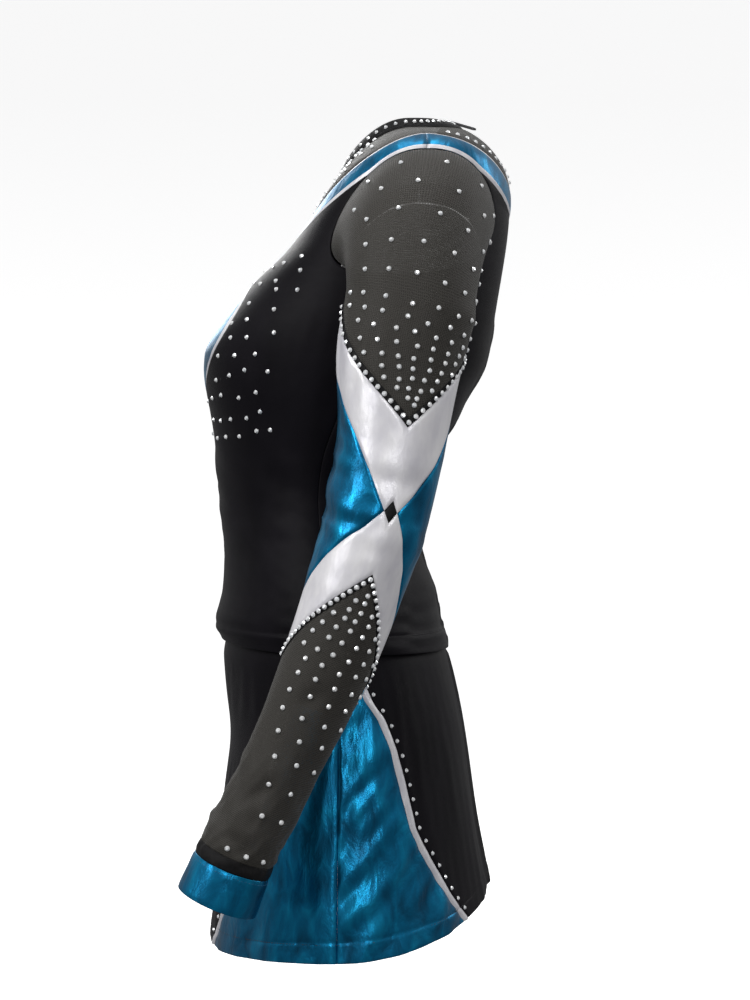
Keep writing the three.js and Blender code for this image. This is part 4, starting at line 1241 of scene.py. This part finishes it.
# Node, finish, angles, columns, places, what it rides on, wall, how its edges roll in, and how far
# it stands up in the middle.
SLEEVE_PANELS = (
    ("upper_mesh", "black_mesh", loop, 70, sleeve_place(level(UPPER_SLEEVE + CAP), mesh_edge),
     "shoulder", NET_WALL, (0, 0, 0.3, 0.6), 0.0),
    ("upper_trim", "trim_black", loop, 6, sleeve_place(mesh_edge, white_top),
     "upper", STRETCH_WALL, (0, 0, 1, 1), 0.3),
    ("upper_chevron", "white_satin", loop, 24, sleeve_place(white_top, white_bottom),
     "elbow", STRETCH_WALL, (0, 0, 1, 1), 0.0),
    ("elbow_lozenge", "trim_black", lozenge_angles, 8, lozenge_place,
     "elbow", STRETCH_WALL, (0, 0, 1, 1), 0.0),
    ("elbow_panel", "blue_foil", round_back, 44,
     sleeve_place(wrapped(white_bottom), wrapped(lower_white_top)),
     "elbow", STRETCH_WALL, (0, 0, 1, 1), 0.0),
    ("lower_chevron", "white_satin", loop, 20, sleeve_place(lower_white_top, lower_white_bottom),
     "elbow", STRETCH_WALL, (0, 0, 1, 1), 0.0),
    ("lower_trim", "trim_black", loop, 6, sleeve_place(lower_white_bottom, lower_mesh_edge),
     "lower", STRETCH_WALL, (0, 0, 1, 1), 0.3),
    ("forearm_mesh", "black_mesh", loop, 60, sleeve_place(lower_mesh_edge, level(WRIST_START)),
     "lower", NET_WALL, (0, 0, 0.6, 1), 0.0),
    ("wrist_trim", "trim_black", loop, 6, sleeve_place(level(WRIST_START), level(CUFF_START)),
     "lower", TRIM_WALL, (0, 0, 1, 1), 0.0),
    ("cuff", "blue_foil", loop, 18, sleeve_place(level(CUFF_START), level(-FOREARM)),
     "lower", CUFF_WALL, (0, 0, 1, 0.4), 0.0),
)
for name, side in SIDES:
    for node, look, angles, count, place, body, wall, seams, puff in SLEEVE_PANELS:
        Panel(sleeves[side]).add(angles, bunched(count), place, 1, seams, puff=puff).build(
            f"{name}_{node}_cloth", [look], BODIES[side][body], wall, [f"{name}_{node}"])

# ------------------------------------------------------------------ what repeats


STONE_FACETS, TABLE_SHARE, HEIGHT_SHARE, SUNK_SHARE = 9, 0.27, 0.34, 0.12
WHOLE_TURN = 6.28


def group_with(name, numbers):
    """A geometry node tree with a geometry going in and out, a material and named number inputs."""
    tree = bpy.data.node_groups.new(name, "GeometryNodeTree")
    face = tree.interface
    face.new_socket("Geometry", in_out="INPUT", socket_type="NodeSocketGeometry")
    face.new_socket("Finish", in_out="INPUT", socket_type="NodeSocketMaterial")
    for label, kind, value in numbers:
        socket = face.new_socket(label, in_out="INPUT", socket_type=kind)
        socket.default_value = value
    face.new_socket("Geometry", in_out="OUTPUT", socket_type="NodeSocketGeometry")
    nodes = Nodes(tree)
    given = nodes.add("NodeGroupInput").outputs
    return tree, nodes, given


def attribute(nodes, name, kind):
    node = nodes.add("GeometryNodeInputNamedAttribute", {"data_type": kind}, Name=name)
    return node.outputs["Attribute"]


def finish_group(nodes, given, shape, rotation, scale):
    placed = nodes.add("GeometryNodeInstanceOnPoints", Points=given["Geometry"], Instance=shape,
                       Rotation=rotation, Scale=scale)
    real = nodes.add("GeometryNodeRealizeInstances", Geometry=placed.outputs[0])
    done = nodes.add("GeometryNodeSetMaterial", Geometry=real.outputs[0], Material=given["Finish"])
    nodes.add("NodeGroupOutput", Geometry=done.outputs[0])


def make_stone_group():
    """Faceted flat-backed stones, each turned a little differently about its own axis."""
    tree, nodes, given = group_with("rhinestones", [
        ("Diameter", "NodeSocketFloat", 0.0042), ("Turn Seed", "NodeSocketInt", 3)])
    radius, table, height = (nodes.math("MULTIPLY", given["Diameter"], share)
                             for share in (0.5, TABLE_SHARE, HEIGHT_SHARE))
    cone = nodes.add("GeometryNodeMeshCone", Vertices=STONE_FACETS, Radius_Top=table,
                     Radius_Bottom=radius, Depth=height)
    turn = nodes.add("FunctionNodeRandomValue", {"data_type": "FLOAT"}, Seed=given["Turn Seed"])
    turn.inputs[3].default_value = WHOLE_TURN
    euler = nodes.add("ShaderNodeCombineXYZ", Z=turn.outputs[1])
    facing = attribute(nodes, "facing", "FLOAT_VECTOR")
    upright = nodes.add("FunctionNodeAlignRotationToVector", {"axis": "Z"}, Vector=facing)
    spun = nodes.add("FunctionNodeRotateRotation", {"rotation_space": "LOCAL"}, Rotation=upright.outputs[0])
    nodes.tree.links.new(euler.outputs[0], spun.inputs[1])
    finish_group(nodes, given, cone.outputs["Mesh"], spun.outputs[0], attribute(nodes, "size", "FLOAT"))
    return tree


def make_stitch_group():
    """Short thread bumps that lie along their seam."""
    tree, nodes, given = group_with("stitches", [
        ("Length", "NodeSocketFloat", 0.0023), ("Thickness", "NodeSocketFloat", 0.0006)])
    ball = nodes.add("GeometryNodeMeshUVSphere", Segments=6, Rings=4, Radius=0.5)
    size = nodes.add("ShaderNodeCombineXYZ", X=given["Length"], Y=given["Thickness"], Z=given["Thickness"])
    shape = nodes.add("GeometryNodeTransform", Geometry=ball.outputs["Mesh"], Scale=size.outputs[0])
    along = nodes.add("FunctionNodeAlignRotationToVector", {"axis": "X"},
                      Vector=attribute(nodes, "along", "FLOAT_VECTOR"))
    up = nodes.add("FunctionNodeAlignRotationToVector", {"axis": "Z", "pivot_axis": "X"},
                   Rotation=along.outputs[0], Vector=attribute(nodes, "facing", "FLOAT_VECTOR"))
    finish_group(nodes, given, shape.outputs[0], up.outputs[0], attribute(nodes, "size", "FLOAT"))
    return tree


GROUPS = {"stone": make_stone_group(), "stitch": make_stitch_group()}


def scatter(name, group, look, body, places, facing, along=None, replaces=(), slot=None, **settings):
    """Repeats one small shape at the places and turns the result into a plain mesh."""
    mesh = bpy.data.meshes.new(name)
    mesh.from_pydata(np.asarray(places).tolist(), [], [])
    vectors = {"facing": facing} if along is None else {"facing": facing, "along": along}
    for key, values in vectors.items():
        layer = mesh.attributes.new(key, "FLOAT_VECTOR", "POINT")
        layer.data.foreach_set("vector", np.asarray(values, np.float32).ravel())
    layer = mesh.attributes.new("size", "FLOAT", "POINT")
    layer.data.foreach_set("value", np.ones(len(places), np.float32))
    seed = bpy.data.objects.new(name + "_places", mesh)
    scene.collection.objects.link(seed)
    modifier = seed.modifiers.new("scatter", "NODES")
    modifier.node_group = GROUPS[group]
    sockets = {item.name: item.identifier for item in GROUPS[group].interface.items_tree
               if item.item_type == "SOCKET" and item.in_out == "INPUT"}
    modifier[sockets["Finish"]] = LOOKS[look]
    for key, value in settings.items():
        modifier[sockets[key.replace("_", " ")]] = value
    ready = seed.evaluated_get(bpy.context.evaluated_depsgraph_get())
    made = bpy.data.meshes.new_from_object(ready)
    made.name = name
    piece = bpy.data.objects.new(name, made)
    scene.collection.objects.link(piece)
    bpy.data.objects.remove(seed)
    if replaces:
        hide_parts(*replaces)
    fasten(piece, body)


def stones_on(name, surface, spots, body, diameter, lift=STRETCH_WALL / 2):
    """Stones glued onto the cloth at (a, b) spots of its surface."""
    a, b = np.array(spots).T
    facing = surface.out(a, b)
    places = surface.at(a, b) + facing * (lift * MM + diameter * SUNK_SHARE)
    scatter(name, "stone", "rhinestone", body, places, facing, slot="rhinestone", Diameter=diameter)


def rows_of_stones(rows, spacing, reach, scale, jitter, random):
    """Staggered rows: at each row's station, stones across its reach; scale is millimetres per degree."""
    spots = []
    for k, row in enumerate(rows):
        low, high = reach(row)
        gap = spacing(row) / scale
        shift = 0.5 * (k % 2) * gap
        for angle in np.arange(low + shift, high + 0.01, gap):
            spots.append((angle + random.normal(0, jitter) / scale, row + random.normal(0, jitter)))
    return spots


def growing_rows(start, stop, first, last):
    """Stations whose spacing grows from first to last millimetres."""
    rows, place = [], start
    way = 1 if stop > start else -1
    while (place - stop) * way < 0:
        rows.append(place)
        place += way * mix(first, last, abs(place - start) / abs(stop - start))
    return rows


random = np.random.default_rng(11)
STONE, SMALL_STONE = 0.0042, 0.0036
TRIM_LIFT, FOREARM_LIFT, COLLAR_LIFT = 0.7, 0.55, 1.1
TORSO_DEGREE, SLEEVE_DEGREE, FOREARM_DEGREE = TORSO_RADIUS * RAD, SLEEVE_RADIUS * RAD, 34 * RAD
STONE_TO_EDGE = 8


def upper_reach(q):
    """How far round the sleeve the stones go at a height in the upper mesh."""
    share = np.clip((q - 98) / 84, 0, 1)
    return -min(BACK_CORNER * -share, 88) - PATTERN_TURN, min(FRONT_CORNER * share, 84) - PATTERN_TURN


def forearm_reach(q):
    """The same in the forearm: wider down to the chevron's corners, then narrower to the wrist."""
    depth = FOREARM_POINT - q
    narrowing = np.clip((depth - 60) / 160, 0, 1)
    back = min(110 * depth / 109, mix(75, 25, narrowing))
    front = min(108 * depth / 79, mix(78, 28, narrowing))
    return STONE_TO_EDGE - back - PATTERN_TURN, front - STONE_TO_EDGE - PATTERN_TURN


def along_line(line, low, high, gap):
    """Spots evenly along a sleeve line between two pattern angles."""
    beta = np.linspace(low, high, 400)
    q = line(beta)
    length = np.insert(np.cumsum(np.hypot(np.diff(beta) * SLEEVE_DEGREE, np.diff(q))), 0, 0)
    wanted = np.arange(gap / 2, length[-1], gap)
    return [(x - PATTERN_TURN, line(x)) for x in np.interp(wanted, length, beta)]


def mirrored(spots):
    return [(side * angle, b) for side in (1, -1) for angle, b in spots()]


def upper_spacing(q):
    return mix(7, 22, np.clip((q - 100) / 130, 0, 1))


def forearm_spacing(q):
    return mix(6.6, 20, np.clip((-47 - q) / 110, 0, 1))


def chest_spots():
    rows = rows_of_stones(even(58, 208, 18), lambda v: 24, lambda v: (12, mix(66, 58, (v - 58) / 150)),
                          TORSO_DEGREE, 2.2, random)
    return [(angle, v) for angle, v in rows if angle > inset_spread(v) + 3]


def yoke_spots():
    return rows_of_stones([271, 286, 303, 322, 343, 361], lambda v: 21 * WIDTH(v) / TORSO_RADIUS,
                          lambda v: (3, 62), TORSO_DEGREE * 0.9, 1.0, random)


def nape_spots():
    return [(angle, stripe_high(angle) + 9) for angle in even(104, 168, 6.5)]


def beside_piping(edge, way):
    """One row of stones on the black, a little way off the piping."""
    return lambda: [(float(edge(d) + way * degrees(PIPING_WIDTH + 4.5, d)), d) for d in even(98, 312, 13.6)]


for name, side in SIDES:
    sleeve, bodies = sleeves[side], BODIES[side]
    crown = rows_of_stones(growing_rows(101, 270, 6.4, 21), upper_spacing, upper_reach, SLEEVE_DEGREE,
                           0.7, random)
    stones_on(f"{name}_upper_mesh_stones", sleeve, crown, bodies["shoulder"], STONE, NET_WALL / 2)
    trim = along_line(lambda b: mesh_edge(b) - TRIM_WIDTH / 2, BACK_CORNER, FRONT_CORNER, 7.0)
    stones_on(f"{name}_upper_trim_stones", sleeve, trim, bodies["upper"], STONE, TRIM_LIFT)
    lower_trim = along_line(lambda b: lower_mesh_edge(b) + TRIM_WIDTH / 2, BACK_CORNER, FRONT_CORNER, 6.2)
    forearm = rows_of_stones(growing_rows(-47, -236, 6.4, 26), forearm_spacing, forearm_reach,
                             FOREARM_DEGREE, 0.7, random)
    wrist = [(b - PATTERN_TURN, WRIST_START + 6) for b in (-30, 0, 30)]
    stones_on(f"{name}_forearm_stones", sleeve, lower_trim + forearm + wrist, bodies["lower"], STONE,
              FOREARM_LIFT)

chest = mirrored(chest_spots)
yoke = [(angle, v) for angle, v in mirrored(yoke_spots) + mirrored(nape_spots)
        if v > stripe_high(abs(angle)) + 6]
collar = mirrored(lambda: [(angle, (COLLAR_BASE + COLLAR_TOP) / 2) for angle in even(4, 168, 8.2)])
pipings = mirrored(beside_piping(back_edge, 1)) + mirrored(beside_piping(front_edge, -1))
stones_on("bodice_stones", torso, chest, "top", STONE)
stones_on("yoke_stones", torso, yoke, "top", STONE, NET_WALL / 2)
stones_on("collar_stones", torso, collar, "top", SMALL_STONE, COLLAR_LIFT)
stones_on("skirt_stones", skirt, pipings, "skirt", SMALL_STONE)

# ------------------------------------------------------------------ stitches

STITCH_GAP = 3.1


def stitch_line(surface, a, b, lift):
    """Places, facings and directions of stitches along a line of surface coordinates."""
    fine = surface.at(a, b)
    length = np.insert(np.cumsum(np.linalg.norm(np.diff(fine, axis=0), axis=1)), 0, 0)
    wanted = np.arange(0.001, length[-1], STITCH_GAP * MM)
    aa, bb = np.interp(wanted, length, a), np.interp(wanted, length, b)
    facing = surface.out(aa, bb)
    places = surface.at(aa, bb) + facing * lift * MM
    return places, facing, np.gradient(places, axis=0)


def stitch(name, look, body, lines):
    places, facing, along = (np.concatenate(parts) for parts in zip(*lines))
    scatter(name, "stitch", look, body, places, facing, along)


def stitched_ring(surface, b, lift, count=721, half_turn=180):
    """A line of stitches round the garment at one height."""
    return stitch_line(surface, np.linspace(-half_turn, half_turn, count), np.full(count, float(b)), lift)


stitch("skirt_hem_stitches", "black_thread", "skirt", [stitched_ring(skirt, SKIRT_LENGTH - HEM_DEPTH, 0.3)])
stitch("waistband_stitches", "black_thread", "skirt", [stitched_ring(skirt, WAISTBAND_HEIGHT - 3, 1.0)])
stitch("top_stitches", "black_thread", "top", [
    stitched_ring(torso, HEM + HEM_DEPTH, 0.3),
    stitched_ring(torso, COLLAR_BASE + 2.5, 0.8, 500, 178)])
for name, side in SIDES:
    stitch(f"{name}_cuff_stitches", "blue_thread", f"{name}_forearm", [
        stitched_ring(sleeves[side], CUFF_START - 3, 0.5, 361)])

# ------------------------------------------------------------------ the zip

ZIP_BOTTOM, ZIP_TOP, TAPE_WIDTH, TAPE_DEPTH, TAPE_GAP = -13, 79, 11, 3.1, 0.3
TOOTH_STEP, TOOTH_PLACE = 0.9, 1.1


def tape_place(angle, t):
    return mix(TAPE_GAP, TAPE_WIDTH, t), angle


arc = Surface(lambda x, angle: on_arc(ZIP_RADIUS - TAPE_DEPTH, angle, x), lambda x, angle: 0 * x,
              1 / RAD, ZIP_RADIUS * RAD, -1)
for name, side in SIDES:
    tape = Panel(arc)
    tape.add(even(ZIP_BOTTOM, ZIP_TOP, 2), np.linspace(0, 1, 7), tape_place, side, (0, 0, 0, 0))
    tape.build(f"zip_tape_{name}_cloth", ["zip_tape"], "top", TAPE_WALL, [f"zip_tape_{name}"])
    turns = np.arange(ZIP_BOTTOM + 3, ZIP_TOP - 2, TOOTH_STEP) + (TOOTH_STEP / 2 if side > 0 else 0)
    places = on_arc(ZIP_RADIUS, turns, side * TOOTH_PLACE) * MM
    facing = on_arc(1, turns) - on_arc(0, turns)
    across = np.tile([1.0, 0, 0], (len(turns), 1))
    scatter(f"zip_coil_{name}_teeth", "stitch", "zip_nylon", "top", places, facing, across,
            [f"zip_coil_{name}"], "zip_nylon", Length=0.0027, Thickness=0.0011)

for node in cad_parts:
    if node.startswith(("zip_slider", "zip_pull", "zip_top_stop", "zip_bottom_stop")):
        mesh = bpy.data.objects[node].data
        mesh.materials.clear()
        mesh.materials.append(LOOKS["zip_metal"])

low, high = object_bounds()
